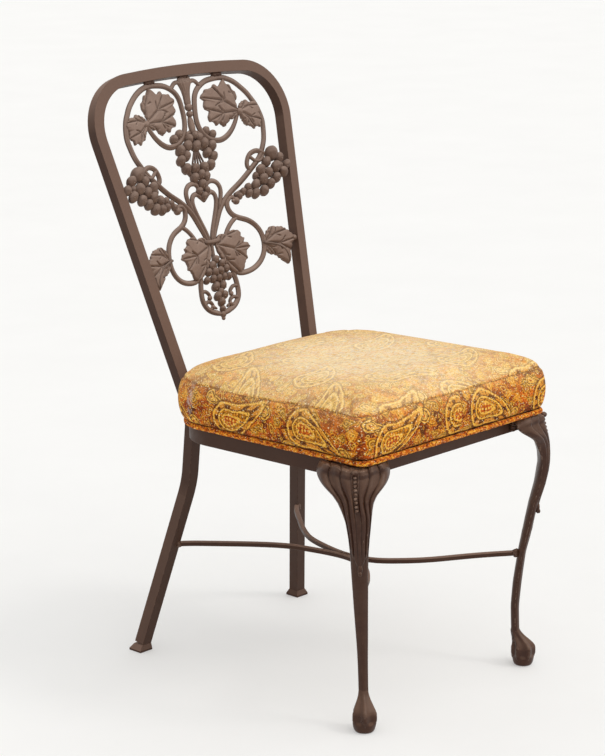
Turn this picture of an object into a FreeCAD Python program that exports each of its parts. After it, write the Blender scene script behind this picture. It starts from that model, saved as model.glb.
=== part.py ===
import FreeCAD, Part
import os, math, random
from FreeCAD import Vector, Placement, Rotation, Matrix

doc = FreeCAD.newDocument("garden_chair")

# ---------------------------------------------------------------- dimensions
# millimetres; +Z up, the chair faces -Y, the sitter's right is -X
sheet = doc.addObject("Spreadsheet::Sheet", "dims")
VALUES = [
    ("tube", 19.0), ("tubewall", 1.5), ("shifty", 27.37),
    ("hoopcornerrad", 82.0), ("hoopcrownrad", 1958.0), ("hoopapex", 556.3),
    ("bandthick", 5.0), ("bandheight", 25.0), ("seathalf", 212.0), ("seatdeep", 405.0),
    ("bandradius", 90.0), ("seatfront", -304.4), ("seatbase", 400.0), ("seattilt", 1.24),
    ("boardthick", 12.0), ("boardgap", 1.0), ("tabthick", 3.0),
    ("cushlow", 25.4), ("cushhigh", 118.0), ("cushhalf", 214.0),
    ("weltdia", 8.0), ("footpadheight", 12.5), ("footpadwide", 27.0),
    ("barside", 8.0), ("stretchlevel", 184.0), ("leafthick", 3.5),
    ("screwdia", 5.0), ("screwhead", 10.0), ("tieheight", 9.0), ("tiewide", 27.0),
]
for i, (alias, value) in enumerate(VALUES):
    sheet.set("A%d" % (i + 1), alias)
    sheet.set("B%d" % (i + 1), repr(value))
    sheet.setAlias("B%d" % (i + 1), alias)
doc.recompute()
D = {alias: float(sheet.get(alias)) for alias, _ in VALUES}
OY = D["shifty"]

made = []


def keep(obj, name):
    obj.Label = name
    made.append((obj, name))
    return obj


def feature(name, shape):
    obj = doc.addObject("Part::Feature", name)
    obj.Shape = shape
    return keep(obj, name)


def plane(body, role):
    for f in body.Origin.OriginFeatures:
        if f.Role == role:
            return f


def new_sketch(body, role="XY_Plane", z=0.0, name="sketch"):
    s = body.newObject("Sketcher::SketchObject", name)
    s.AttachmentSupport = (plane(body, role), [""])
    s.MapMode = "FlatFace"
    if z:
        s.AttachmentOffset = Placement(Vector(0, 0, z), Rotation())
    return s


def poly(sk, pts):
    n = len(pts)
    for i in range(n):
        a, b = pts[i], pts[(i + 1) % n]
        sk.addGeometry(Part.LineSegment(Vector(a[0], a[1], 0), Vector(b[0], b[1], 0)), False)


def closed_spline(sk, pts):
    c = Part.BSplineCurve()
    c.interpolate([Vector(p[0], p[1], 0) for p in pts], PeriodicFlag=True)
    sk.addGeometry(c, False)


def pad(body, sk, alias=None, length=None, name="pad"):
    p = body.newObject("PartDesign::Pad", name)
    p.Profile = sk
    if alias:
        p.setExpression("Length", "dims." + alias)
    else:
        p.Length = length
    body.Tip = p
    return p


def body_of(name):
    b = doc.addObject("PartDesign::Body", name)
    keep(b, name)
    return b


# ---------------------------------------------------------------- back hoop
# one continuous square tube: floor, rake, seat bend, straight upright, rounded
# corner, arched top rail and down the other side
P0 = Vector(190.1, 192.5 + OY, 12.0)
P00 = Vector(190.1, 192.5 + OY, 0.0)
P1 = Vector(129.2, 133.5 + OY, 291.6)
P2 = Vector(144.1, 106.45 + OY, 412.0)
EY, EZ = 0.3027, 0.9531
SLOPE = 0.147


def hoop(x, w, o=0.0):
    """point of the reclined back plane: x across, w up the recline, o towards the front"""
    return Vector(x, P2.y + EY * w - EZ * o, P2.z + EZ * w + EY * o)


def leg_dir_start():
    return (P1 - P00).normalize()


P0 = P00 + leg_dir_start() * (12.0 / leg_dir_start().z)
k = math.hypot(1.0, SLOPE)
rc, Ra, wa = D["hoopcornerrad"], D["hoopcrownrad"], D["hoopapex"]
cy = wa - rc
for _ in range(60):
    def gap(c):
        cx = 144.1 + SLOPE * c - rc * k
        return math.hypot(cx, c - (wa - Ra)) - (Ra - rc)
    cy -= gap(cy) / ((gap(cy + 0.01) - gap(cy)) / 0.01)
cx = 144.1 + SLOPE * cy - rc * k
T1 = (cx + rc / k, cy - rc * SLOPE / k)
dv = math.hypot(cx, cy - (wa - Ra))
T2 = (cx + rc * cx / dv, cy + rc * (cy - (wa - Ra)) / dv)
a1 = math.atan2(T1[1] - cy, T1[0] - cx)
a2 = math.atan2(T2[1] - cy, T2[0] - cx)
am = 0.5 * (a1 + a2)
TM = (cx + rc * math.cos(am), cy + rc * math.sin(am))


def bend(a, p, b, r):
    u = (a - p).normalize()
    v = (b - p).normalize()
    ang = u.getAngle(v)
    t = r / math.tan(ang / 2)
    bis = (u + v).normalize()
    c = p + bis * (r / math.sin(ang / 2))
    return p + u * t, c - bis * r, p + v * t


P3 = hoop(T1[0], T1[1])


def flip(p):
    return Vector(-p.x, p.y, p.z)


A1, M1, B1 = bend(P0, P1, P2, 145.0)
A2, M2, B2 = bend(P1, P2, P3, 80.0)
right_side = [
    Part.LineSegment(P0, A1).toShape(), Part.Arc(A1, M1, B1).toShape(),
    Part.LineSegment(B1, A2).toShape(), Part.Arc(A2, M2, B2).toShape(),
    Part.LineSegment(B2, P3).toShape(),
    Part.Arc(P3, hoop(*TM), hoop(*T2)).toShape(),
]
left_side = [
    Part.Arc(flip(hoop(*T2)), flip(hoop(*TM)), flip(P3)).toShape(),
    Part.LineSegment(flip(P3), flip(B2)).toShape(), Part.Arc(flip(B2), flip(M2), flip(A2)).toShape(),
    Part.LineSegment(flip(A2), flip(B1)).toShape(), Part.Arc(flip(B1), flip(M1), flip(A1)).toShape(),
    Part.LineSegment(flip(A1), flip(P0)).toShape(),
]
crown = [Part.Arc(hoop(*T2), hoop(0, wa), flip(hoop(*T2))).toShape()]
spine = Part.Wire(right_side + crown + left_side)


def square_at(p, tangent, side, up=None):
    t = Vector(tangent).normalize()
    x = Vector(1, 0, 0)
    u = (x - t * x.dot(t)).normalize()
    n = t.cross(u)
    s = side / 2
    pts = [p + u * s + n * s, p - u * s + n * s, p - u * s - n * s, p + u * s - n * s]
    return Part.makePolygon(pts + [pts[0]])


def sweep(wire, profile):
    mk = Part.BRepOffsetAPI.MakePipeShell(wire)
    mk.setFrenetMode(False)
    mk.setTransitionMode(1)
    mk.add(profile, False, False)
    mk.build()
    mk.makeSolid()
    return mk.shape()


t0 = leg_dir_start()
outer = sweep(spine, square_at(P0, t0, D["tube"]))
inner = sweep(spine, square_at(P0, t0, D["tube"] - 2 * D["tubewall"]))
feature("back_hoop", outer.cut(inner))

# flared square pads closing the two rear legs on the floor
for side, sx in (("left", 1), ("right", -1)):
    b = body_of("rear_foot_" + side)
    s1 = new_sketch(b, "XY_Plane", 0.0, "sole_" + side)
    w2 = D["footpadwide"] / 2
    ox, oy = sx * 190.1, 192.5 + OY
    poly(s1, [(ox - w2, oy - w2), (ox + w2, oy - w2), (ox + w2, oy + w2), (ox - w2, oy + w2)])
    s2 = new_sketch(b, "XY_Plane", 3.0, "rim_" + side)
    poly(s2, [(ox - w2, oy - w2), (ox + w2, oy - w2), (ox + w2, oy + w2), (ox - w2, oy + w2)])
    s3 = new_sketch(b, "XY_Plane", 11.6, "neck_" + side)
    w3 = D["tube"] / 2 + 0.4
    nx = ox - sx * 0.2055 * 11.6
    ny = oy - 0.2023 * 11.6
    poly(s3, [(nx - w3, ny - w3), (nx + w3, ny - w3), (nx + w3, ny + w3), (nx - w3, ny + w3)])
    lf = b.newObject("PartDesign::AdditiveLoft", "flare_" + side)
    lf.Profile = s1
    lf.Sections = [s2, s3]
    lf.Ruled = True
    b.Tip = lf

# ---------------------------------------------------------------- seat frame
# local seat frame: x across, y from the front face to the back, z up from the
# underside of the band; it leans back a little
SEAT = Placement(Vector(0, D["seatfront"] + OY, D["seatbase"]), Rotation(Vector(1, 0, 0), -D["seattilt"]))
W, DP, R, BT, BH = D["seathalf"], D["seatdeep"], D["bandradius"], D["bandthick"], D["bandheight"]


def band_loop(sk, w, y0, d, r, t):
    """U shaped strip drawn as one closed outline of lines and arcs"""
    def line(ax, ay, bx, by):
        sk.addGeometry(Part.LineSegment(Vector(ax, ay, 0), Vector(bx, by, 0)), False)

    def arc(cx_, cy_, rr, s, e):
        sk.addGeometry(Part.ArcOfCircle(Part.Circle(Vector(cx_, cy_, 0), Vector(0, 0, 1), rr), s, e), False)
    line(w, y0, w, d - r)
    arc(w - r, d - r, r, 0, math.pi / 2)
    line(w - r, d, -w + r, d)
    arc(-w + r, d - r, r, math.pi / 2, math.pi)
    line(-w, d - r, -w, y0)
    line(-w, y0, -w + t, y0)
    line(-w + t, y0, -w + t, d - r)
    arc(-w + r, d - r, r - t, math.pi / 2, math.pi)
    line(-w + r, d - t, w - r, d - t)
    arc(w - r, d - r, r - t, 0, math.pi / 2)
    line(w - t, d - r, w - t, y0)
    line(w - t, y0, w, y0)


b = body_of("seat_band")
sk = new_sketch(b, name="band_outline")
band_loop(sk, W, BT, DP, R, BT)
pad(b, sk, "bandheight", name="band_pad")
b.Placement = SEAT

front = doc.addObject("Part::Box", "front_rail")
front.setExpression("Length", "2 * dims.seathalf")
front.setExpression("Width", "dims.bandthick")
front.setExpression("Height", "dims.bandheight")
front.Placement = SEAT.multiply(Placement(Vector(-W, 0, 0), Rotation()))
keep(front, "front_rail")

# drop-in board
b = body_of("seat_board")
sk = new_sketch(b, name="board_outline")
g = D["boardgap"]
wi, di, ri = W - BT - g, DP - BT - g, R - BT - g
y0 = BT + g
for geo in (
    Part.LineSegment(Vector(-wi, y0, 0), Vector(wi, y0, 0)),
    Part.LineSegment(Vector(wi, y0, 0), Vector(wi, DP - R, 0)),
    Part.ArcOfCircle(Part.Circle(Vector(W - R, DP - R, 0), Vector(0, 0, 1), ri), 0, math.pi / 2),
    Part.LineSegment(Vector(W - R, di, 0), Vector(-W + R, di, 0)),
    Part.ArcOfCircle(Part.Circle(Vector(-W + R, DP - R, 0), Vector(0, 0, 1), ri), math.pi / 2, math.pi),
    Part.LineSegment(Vector(-wi, DP - R, 0), Vector(-wi, y0, 0)),
):
    sk.addGeometry(geo, False)
pad(b, sk, "boardthick", name="board_pad")
b.Placement = SEAT.multiply(Placement(Vector(0, 0, BH - D["boardthick"] - 0.2), Rotation()))

# corner tabs under the board and their screws
ZT = BH - D["boardthick"] - 0.2 - D["tabthick"]
tab_holes = []
for name, sx, rear in (("front_left", 1, 0), ("front_right", -1, 0), ("rear_left", 1, 1), ("rear_right", -1, 1)):
    b = body_of("corner_tab_" + name)
    sk = new_sketch(b, name="tab_" + name)
    xi = W - BT
    if not rear:
        pts = [(sx * xi, BT), (sx * xi, BT + 46), (sx * (xi - 46), BT)]
        hole = (sx * (xi - 15), BT + 15)
    else:
        yc = DP - R
        ca, sa = math.cos(math.radians(45)), math.sin(math.radians(45))
        rr = R - BT
        c0 = (W - R, yc)
        arcpts = [(sx * (c0[0] + rr * math.cos(math.radians(t))), c0[1] + rr * math.sin(math.radians(t))) for t in (25, 35, 45, 55, 65)]
        pts = arcpts + [(sx * (c0[0] + (rr - 30) * math.cos(math.radians(58))), c0[1] + (rr - 30) * math.sin(math.radians(58))),
                        (sx * (c0[0] + (rr - 30) * math.cos(math.radians(32))), c0[1] + (rr - 30) * math.sin(math.radians(32)))]
        hole = (sx * (c0[0] + (rr - 15) * ca), c0[1] + (rr - 15) * sa)
    poly(sk, pts)
    sk.addGeometry(Part.Circle(Vector(hole[0], hole[1], 0), Vector(0, 0, 1), 2.9), False)
    pad(b, sk, "tabthick", name="tab_pad_" + name)
    b.Placement = SEAT.multiply(Placement(Vector(0, 0, ZT), Rotation()))
    tab_holes.append(hole)

screws = []
for hx, hy in tab_holes:
    shank = Part.makeCylinder(D["screwdia"] / 2, 11.0, Vector(hx, hy, ZT - 0.5))
    head = Part.makeCylinder(D["screwhead"] / 2, 2.6, Vector(hx, hy, ZT - 2.6))
    slot = Part.makeBox(8.0, 1.2, 1.2, Vector(hx - 4.0, hy - 0.6, ZT - 2.7))
    screws.append(shank.fuse(head).cut(slot))
sc = Part.makeCompound(screws)
sc.Placement = SEAT
feature("seat_screws", sc)

# ---------------------------------------------------------------- cushion


def rounded(sk, hw, ya, yb, rf, rr):
    """rounded rectangle with front corner radius rf and rear corner radius rr"""
    def line(ax, ay, bx, by):
        sk.addGeometry(Part.LineSegment(Vector(ax, ay, 0), Vector(bx, by, 0)), False)

    def arc(cx_, cy_, rad, s, e):
        sk.addGeometry(Part.ArcOfCircle(Part.Circle(Vector(cx_, cy_, 0), Vector(0, 0, 1), rad), math.radians(s), math.radians(e)), False)
    line(-hw + rf, ya, hw - rf, ya)
    arc(hw - rf, ya + rf, rf, -90, 0)
    line(hw, ya + rf, hw, yb - rr)
    arc(hw - rr, yb - rr, rr, 0, 90)
    line(hw - rr, yb, -hw + rr, yb)
    arc(-hw + rr, yb - rr, rr, 90, 180)
    line(-hw, yb - rr, -hw, ya + rf)
    arc(-hw + rf, ya + rf, rf, 180, 270)


b = body_of("seat_cushion")
CY0, CY1 = -15.0, DP - 3.0
levels = [
    (25.35, 210.0, CY0 - 6, CY1 - 6, 18, 72), (40.0, 221.0, CY0 - 11, CY1, 22, 79), (60.0, 228.0, CY0 - 17, CY1 + 2, 26, 86),
    (82.0, 226.0, CY0 - 14, CY1 + 1, 25, 84), (97.0, 219.0, CY0 - 7, CY1 - 3, 24, 80), (108.0, 200.0, CY0 + 13, CY1 - 18, 36, 84),
    (117.0, 162.0, CY0 + 48, CY1 - 50, 58, 80), (122.0, 100.0, CY0 + 110, CY1 - 110, 60, 60),
]
sks = []
for i, (z, hw, ya, yb, rf, rr) in enumerate(levels):
    s = new_sketch(b, "XY_Plane", z, "cushion_level_%d" % i)
    rounded(s, hw, ya, yb, rf, rr)
    sks.append(s)
lf = b.newObject("PartDesign::AdditiveLoft", "cushion_loft")
lf.Profile = sks[0]
lf.Sections = sks[1:]
lf.Ruled = True
b.Tip = lf
b.Placement = SEAT

# round piping along the lower edge of the cushion
wr = D["weltdia"] / 2
wz = 25.35 + wr
whw, wya, wyb, wrf, wrr = 218.0, CY0 - 9.0, CY1 - 5.0, 17.0, 76.5


def ring_wire(hw, ya, yb, rf, rr, z):
    def v(x, y):
        return Vector(x, y, z)

    def arc(cx_, cy_, rad, s, e):
        m = 0.5 * (s + e)
        pt = [v(cx_ + rad * math.cos(math.radians(a)), cy_ + rad * math.sin(math.radians(a))) for a in (s, m, e)]
        return Part.Arc(*pt).toShape()
    return Part.Wire([
        Part.LineSegment(v(0, ya), v(hw - rf, ya)).toShape(), arc(hw - rf, ya + rf, rf, -90, 0),
        Part.LineSegment(v(hw, ya + rf), v(hw, yb - rr)).toShape(), arc(hw - rr, yb - rr, rr, 0, 90),
        Part.LineSegment(v(hw - rr, yb), v(-hw + rr, yb)).toShape(), arc(-hw + rr, yb - rr, rr, 90, 180),
        Part.LineSegment(v(-hw, yb - rr), v(-hw, ya + rf)).toShape(), arc(-hw + rf, ya + rf, rf, 180, 270),
        Part.LineSegment(v(-hw + rf, ya), v(0, ya)).toShape(),
    ])


ring = ring_wire(whw, wya, wyb, wrf, wrr, wz)
circ = Part.Wire([Part.Circle(Vector(0, wya, wz), Vector(1, 0, 0), wr).toShape()])
welt = sweep(ring, circ)
welt.Placement = SEAT
feature("seat_welt", welt)

# ---------------------------------------------------------------- front legs
# cast cabriole legs: centre line and the two half widths by height
LEG = [
    (22, 189.0, -307.1, 8.2, 7.6), (42, 187.2, -304.6, 7.6, 6.8), (60, 186.3, -302.7, 7.5, 6.5), (100, 186.0, -301.0, 7.8, 6.6),
    (140, 189.2, -302.2, 8.8, 7.0), (180, 193.8, -304.0, 10.4, 7.7), (220, 200.7, -308.2, 11.6, 8.5),
    (260, 210.5, -315.4, 12.8, 9.2), (300, 218.0, -320.4, 14.6, 9.8), (330, 220.6, -322.0, 16.6, 10.2),
    (360, 221.8, -322.0, 21.5, 11.5), (390, 221.5, -320.5, 25.0, 12.5), (412, 220.0, -318.5, 27.0, 13.0), (424.4, 220.5, -319.0, 29.0, 14.5),
]


def ellipse_sketch(body, z, x, y, a, b_, name):
    s = new_sketch(body, "XY_Plane", z, name)
    c, sn = math.cos(math.radians(45)), math.sin(math.radians(45))
    # the major axis runs across the corner diagonal of the chair's left front leg
    e = Part.Ellipse(Vector(x + c * a, y + sn * a, 0), Vector(x - sn * b_, y + c * b_, 0), Vector(x, y, 0))
    s.addGeometry(e, False)
    return s


tools = []
shaft = doc.addObject("PartDesign::Body", "leg_shaft")
ls = [ellipse_sketch(shaft, z, x, y + OY, a, b_, "leg_section_%d" % i) for i, (z, x, y, a, b_) in enumerate(LEG)]
lf = shaft.newObject("PartDesign::AdditiveLoft", "leg_loft")
lf.Profile = ls[0]
lf.Sections = ls[1:]
shaft.Tip = lf
doc.recompute()

WING = [(-9, 424.4), (56, 424.4), (61, 419), (60, 409), (53, 401), (41, 392), (27, 384), (17, 374), (11, 356), (8, 340), (-9, 336)]
YF = D["seatfront"] + OY
side_wing = Part.Face(Part.makePolygon([Vector(W, YF + a, z) for a, z in WING + WING[:1]])).extrude(Vector(17, 0, 0))
front_wing = Part.Face(Part.makePolygon([Vector(W - a, YF, z) for a, z in WING + WING[:1]])).extrude(Vector(0, -17, 0))


def ellipsoid(cx_, cy_, cz_, rx, ry, rz, ang=0.0, tip=0.0):
    s = Part.makeSphere(1.0)
    m = Matrix()
    m.scale(rx, ry, rz)
    s = s.transformGeometry(m)
    s.rotate(Vector(0, 0, 0), Vector(0, 1, 0), tip)
    s.rotate(Vector(0, 0, 0), Vector(0, 0, 1), ang)
    s.translate(Vector(cx_, cy_, cz_))
    return s


fx, fy = 189.0, -307.1 + OY
ux, uy = math.cos(math.radians(-45)), math.sin(math.radians(-45))


def foot_at(along, across, z, rx, ry, rz, ang=-45.0, tip=0.0):
    return ellipsoid(fx + ux * along - uy * across, fy + uy * along + ux * across, z, rx, ry, rz, ang, tip)


claws = [
    foot_at(10.0, 0.0, 15.0, 19.0, 15.5, 16.5),
    foot_at(6.0, 0.0, 30.0, 14.0, 12.0, 13.0),
    foot_at(20.0, 0.0, 24.0, 12.5, 5.5, 11.0, -45.0, 25.0),
    foot_at(12.0, 11.5, 23.0, 13.0, 5.5, 11.5, -27.0, 20.0),
    foot_at(12.0, -11.5, 23.0, 13.0, 5.5, 11.5, -63.0, 20.0),
    foot_at(-5.5, 0.0, 20.0, 6.0, 6.0, 13.0),
]
floor_cut = Part.makeBox(200, 200, 100, Vector(fx - 100, fy - 100, -100))
base = Part.makeCylinder(11.0, 6.0, Vector(fx + ux * 8, fy + uy * 8, 0))
leg = shaft.Shape.fuse([side_wing, front_wing, base] + claws)
seat_frame_solid = [made_obj.Shape for made_obj, n in made if n in ("seat_band", "front_rail")]
leg = leg.cut(floor_cut)
for s in seat_frame_solid:
    leg = leg.cut(s)
# the corner inside the band is clear of the casting
clear = Part.makeBox(2 * (W - 0.0), DP, 60.0, Vector(-W, 0, -2.0))
clear.Placement = SEAT
leg = leg.cut(clear)
above = Part.makeBox(900, 900, 60.0, Vector(-450, -450, BH + 0.05))
above.Placement = SEAT
leg = leg.cut(above)
leg = max(leg.Solids, key=lambda s: s.Volume)
leg_src = doc.addObject("Part::Feature", "front_leg_left")
leg_src.Shape = leg
keep(leg_src, "front_leg_left")
mir = doc.addObject("Part::Mirroring", "front_leg_right")
mir.Source = leg_src
mir.Normal = Vector(1, 0, 0)
mir.Base = Vector(0, 0, 0)
keep(mir, "front_leg_right")


def mirrored(src, name):
    m = doc.addObject("Part::Mirroring", name)
    m.Source = src
    m.Normal = Vector(1, 0, 0)
    m.Base = Vector(0, 0, 0)
    return keep(m, name)


# ---------------------------------------------------------------- bars


def bar(points, radius, square=False):
    c = Part.BSplineCurve()
    c.interpolate([Vector(p) for p in points])
    w = Part.Wire([c.toShape()])
    t = c.tangent(c.FirstParameter)[0]
    if square:
        up = Vector(0, 0, 1)
        u = t.cross(up).normalize()
        s = radius
        p = Vector(points[0])
        f = 0.35 * s
        pr = [(s, s - f), (s - f, s), (-s + f, s), (-s, s - f), (-s, -s + f), (-s + f, -s), (s - f, -s), (s, -s + f)]
        pts = [p + u * a + up * b_ for a, b_ in pr]
        prof = Part.makePolygon(pts + [pts[0]])
        mk = Part.BRepOffsetAPI.MakePipeShell(w)
        mk.setBiNormalMode(up)
        mk.add(prof, False, False)
        mk.build()
        mk.makeSolid()
        return mk.shape()
    prof = Part.Wire([Part.Circle(Vector(points[0]), t, radius).toShape()])
    mk = Part.BRepOffsetAPI.MakePipeShell(w)
    mk.setBiNormalMode(Vector(0, -EZ, EY))
    mk.add(prof, False, False)
    mk.build()
    mk.makeSolid()
    return mk.shape()


# two bowed stretchers, back to back, that meet in the middle
ZS = D["stretchlevel"]
STR = [(148.0, 151.0, 0), (128, 135, 0), (103, 107, 0), (78, 78, 0), (45, 36, 0), (28, 8, 0), (15, -30, 0), (7.0, -65, 0), (4.05, -94, 0), (7.0, -122, 0),
       (17.5, -149.5, 0), (36.5, -174.5, 0.4), (74.5, -209.0, 0.9), (121.5, -238.3, 1.2), (158.5, -265.0, 2.2), (176.0, -282.5, 3.6), (191.5, -301.0, 5.6)]
st = bar([Vector(x, y + OY, ZS + dz) for x, y, dz in STR], D["barside"] / 2, square=True)
hoop_solid = outer
st = st.cut(hoop_solid)
st = max(st.Solids, key=lambda s: s.Volume)
st = st.cut(leg)
st = max(st.Solids, key=lambda s: s.Volume)
sl = feature("stretcher_left", st)
mirrored(sl, "stretcher_right")
feature("stretcher_center_weld", ellipsoid(0, -94 + OY, ZS, 5.2, 11.0, 3.2).fuse(ellipsoid(0, -94 + OY, ZS, 4.0, 8.0, 5.2)))
welds = []
for sx in (1, -1):
    welds.append(ellipsoid(sx * 143.5, 146.5 + OY, ZS, 5.5, 5.5, 6.0))
    welds.append(ellipsoid(sx * 188.4, -298.4 + OY, ZS + 5.4, 6.4, 6.0, 6.8))
feature("stretcher_end_welds", Part.makeCompound(welds))

# beads between the seat band and the hoop tube
beads = []
for sx in (1, -1):
    for x_ in (134.5, 150.5):
        beads.append(ellipsoid(sx * x_, 99.6 + OY + (-3.2 if x_ > 140 else 0.3), 403.5, 2.6, 3.4, 11.0))
feature("seat_band_welds", Part.makeCompound(beads))

# ---------------------------------------------------------------- back medallion
# grapevine casting work; x across, w up the recline


def sag(x, w):
    """the ornament hangs from the top rail, dips behind the hoop plane at its foot and comes forward at its sides"""
    t = max(0.0, min(1.3, (545.0 - w) / 330.0))
    a = 31.0 * (abs(x) / 172.0) ** 2 * min(1.0, max(0.0, (560.0 - w) / 150.0)) + 1e-6
    c = 21.0 - (min(max(w, 250.0), 520.0) - 375.0) * (0.072 if w < 375.0 else 0.12)
    return -27.0 * t + a * c / (a ** 4 + c ** 4) ** 0.25


def med(x, w, o=0.0):
    return hoop(x, w, sag(x, w) + o)


BR = D["barside"] / 2


def scroll(pts, radius=BR, off=0.0):
    return bar([med(x, w, off) for x, w in pts], radius)


def pair(name, shape):
    src = feature(name + "_left", shape)
    mirrored(src, name + "_right")
    return shape


MAIN = [(7.5, 269), (11.5, 282), (19, 297), (30, 317), (42.5, 332), (59, 345), (79.5, 357), (100, 371), (117, 384), (131, 396), (141, 410), (147, 420),
        (151, 430), (154, 442), (156, 455), (154, 470), (148.5, 486), (143, 495), (135.5, 506), (123.5, 518), (115, 525), (105, 531),
        (92, 536), (77, 538), (60, 537), (48, 535), (36, 530), (24, 521), (17.5, 510), (15.2, 500), (13.8, 490), (13.2, 480), (13.8, 470),
        (16.5, 460), (22.5, 450), (33.5, 440), (43, 436.5), (55, 434.5), (68, 437), (80.5, 444), (92, 455), (100, 466), (106, 475)]
main = pair("main_scroll", scroll(MAIN))
CURL = [(103, 377), (100, 388), (103, 397), (111, 403.5), (121, 405.5), (132, 403.5), (141, 397.5)]
pair("vine_curl", scroll(CURL, 3.8, 0.0))
HEART = [(3.5, 269), (6, 281), (10, 292), (18, 310), (25, 327), (27.5, 338), (26, 348), (20, 354), (12, 354), (5, 349)]
pair("heart_scroll", scroll(HEART, 3.8))
TOPCURL = [(33, 328), (37, 340), (39, 352), (35.5, 362), (27, 367.5), (17, 367), (10, 362)]
pair("heart_curl", scroll(TOPCURL, 3.8))
LOWER = [(66, 332), (58, 336.5), (51, 333), (48.5, 325), (51, 316), (57, 308.5), (68, 302), (84, 295.5), (98, 285), (107, 271), (110, 256),
         (108.5, 241), (102, 228), (91, 218), (77, 212), (62, 210), (48, 212), (36, 217)]
BRANCH = [(62, 304), (52, 297), (43, 289), (36, 280), (31, 270)]
pair("lower_scroll", scroll(LOWER).fuse(scroll(BRANCH, 3.6)).fuse(ellipsoid(*[c for c in med(68, 330.5)], 7.0, 6.0, 7.0)))
LOOP = [(37, 212), (41, 200), (42, 188), (40.5, 175), (34, 164), (22, 156), (8, 153.5), (0, 152.5)]
LOOPX = [(x, w) for x, w in LOOP] + [(-x, w) for x, w in LOOP[-2::-1]]
lp = scroll(LOOPX)
for sx in (1, -1):
    lp = lp.fuse(scroll([(sx * 40, 186), (sx * 31, 187), (sx * 23, 184)], 3.2))
    lp = lp.fuse(scroll([(sx * 38, 170), (sx * 30, 173), (sx * 21, 170)], 3.2))
lp = lp.fuse(ellipsoid(*[c for c in med(0, 150)], 5.5, 4.0, 6.0))
feature("bottom_loop", lp)

tie = Part.makeBox(D["tiewide"], 11.0, D["tieheight"], Vector(-D["tiewide"] / 2, -5.5, -D["tieheight"] / 2))
back_rot = Rotation(Vector(1, 0, 0), -13.0)
tie.Placement = Placement(med(0, 271), back_rot)
feature("tie_band", tie)

# finial: flared cup, bead, short stem
fin = []
cup = Part.makeCone(8.5, 15.0, 44.0, Vector(0, 0, 0), Vector(0, 0, 1))
m = Matrix()
m.scale(1.0, 0.42, 1.0)
cup = cup.transformGeometry(m)
cup.Placement = Placement(med(0, 501), Rotation(Vector(1, 0, 0), -16.0))
fin.append(cup)
fin.append(ellipsoid(*[c for c in med(0, 496)], 7.5, 6.0, 6.8))
fin.append(ellipsoid(*[c for c in med(0, 485)], 6.5, 5.0, 6.4))
fin.append(ellipsoid(*[c for c in med(0, 465)], 6.5, 4.6, 20.0))
fin.append(scroll([(4, 528), (14, 534), (25, 533.5), (33, 528)], 3.2))
fin.append(scroll([(-4, 528), (-14, 534), (-25, 533.5), (-33, 528)], 3.2))
f = fin[0]
for s in fin[1:]:
    f = f.fuse(s)
feature("finial", f)


def ball(center, r, turn):
    """a berry as a fine polyhedron"""
    g = (1 + 5 ** 0.5) / 2
    vs = [(-1, g, 0), (1, g, 0), (-1, -g, 0), (1, -g, 0), (0, -1, g), (0, 1, g), (0, -1, -g), (0, 1, -g), (g, 0, -1), (g, 0, 1), (-g, 0, -1), (-g, 0, 1)]
    fs = [(0, 11, 5), (0, 5, 1), (0, 1, 7), (0, 7, 10), (0, 10, 11), (1, 5, 9), (5, 11, 4), (11, 10, 2), (10, 7, 6), (7, 1, 8),
          (3, 9, 4), (3, 4, 2), (3, 2, 6), (3, 6, 8), (3, 8, 9), (4, 9, 5), (2, 4, 11), (6, 2, 10), (8, 6, 7), (9, 8, 1)]
    rot = Rotation(Vector(turn.uniform(-1, 1), turn.uniform(-1, 1), turn.uniform(-1, 1)), turn.uniform(20, 160))
    p = [Vector(*v).normalize() for v in vs]
    tri = []
    for a, b_, c in fs:
        ab, bc, ca = (p[a] + p[b_]).normalize(), (p[b_] + p[c]).normalize(), (p[c] + p[a]).normalize()
        tri += [(p[a], ab, ca), (p[b_], bc, ab), (p[c], ca, bc), (ab, bc, ca)]
    faces = []
    for t in tri:
        q = [center + rot.multVec(v) * (r * 1.03) for v in t]
        faces.append(Part.Face(Part.makePolygon(q + [q[0]])))
    sh = Part.makeShell(faces)
    so = Part.makeSolid(sh)
    if so.Volume < 0:
        so.reverse()
    return so


def prism(p, q, r, turn):
    """straight piece of stem with eight sides"""
    v = q - p
    t = Vector(v).normalize()
    u = t.cross(Vector(0.31, 0.83, 0.47)).normalize()
    n = t.cross(u)
    a0 = turn.uniform(0, 1)
    pts = [p + u * (r * 1.04 * math.cos(a0 + k * math.pi / 4)) + n * (r * 1.04 * math.sin(a0 + k * math.pi / 4)) for k in range(8)]
    return Part.Face(Part.makePolygon(pts + [pts[0]])).extrude(v)


def cluster(berries, stems, seed):
    """berries and straight pieces of stem grown into one casting"""
    turn = random.Random(seed)
    tools = [ball(med(x, w, o), r, turn) for x, w, r, o in berries]
    for pts, r in stems:
        for a, b_ in zip(pts, pts[1:]):
            pa, pb = med(*a), med(*b_)
            d = (pb - pa).normalize()
            tools.append(prism(pa - d * 1.3, pb + d * 0.9, r, turn))
    s = tools[0].multiFuse(tools[1:])
    if len(s.Solids) != 1 or not s.isValid():
        raise RuntimeError("cluster is not one clean solid")
    return s.Solids[0]


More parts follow.
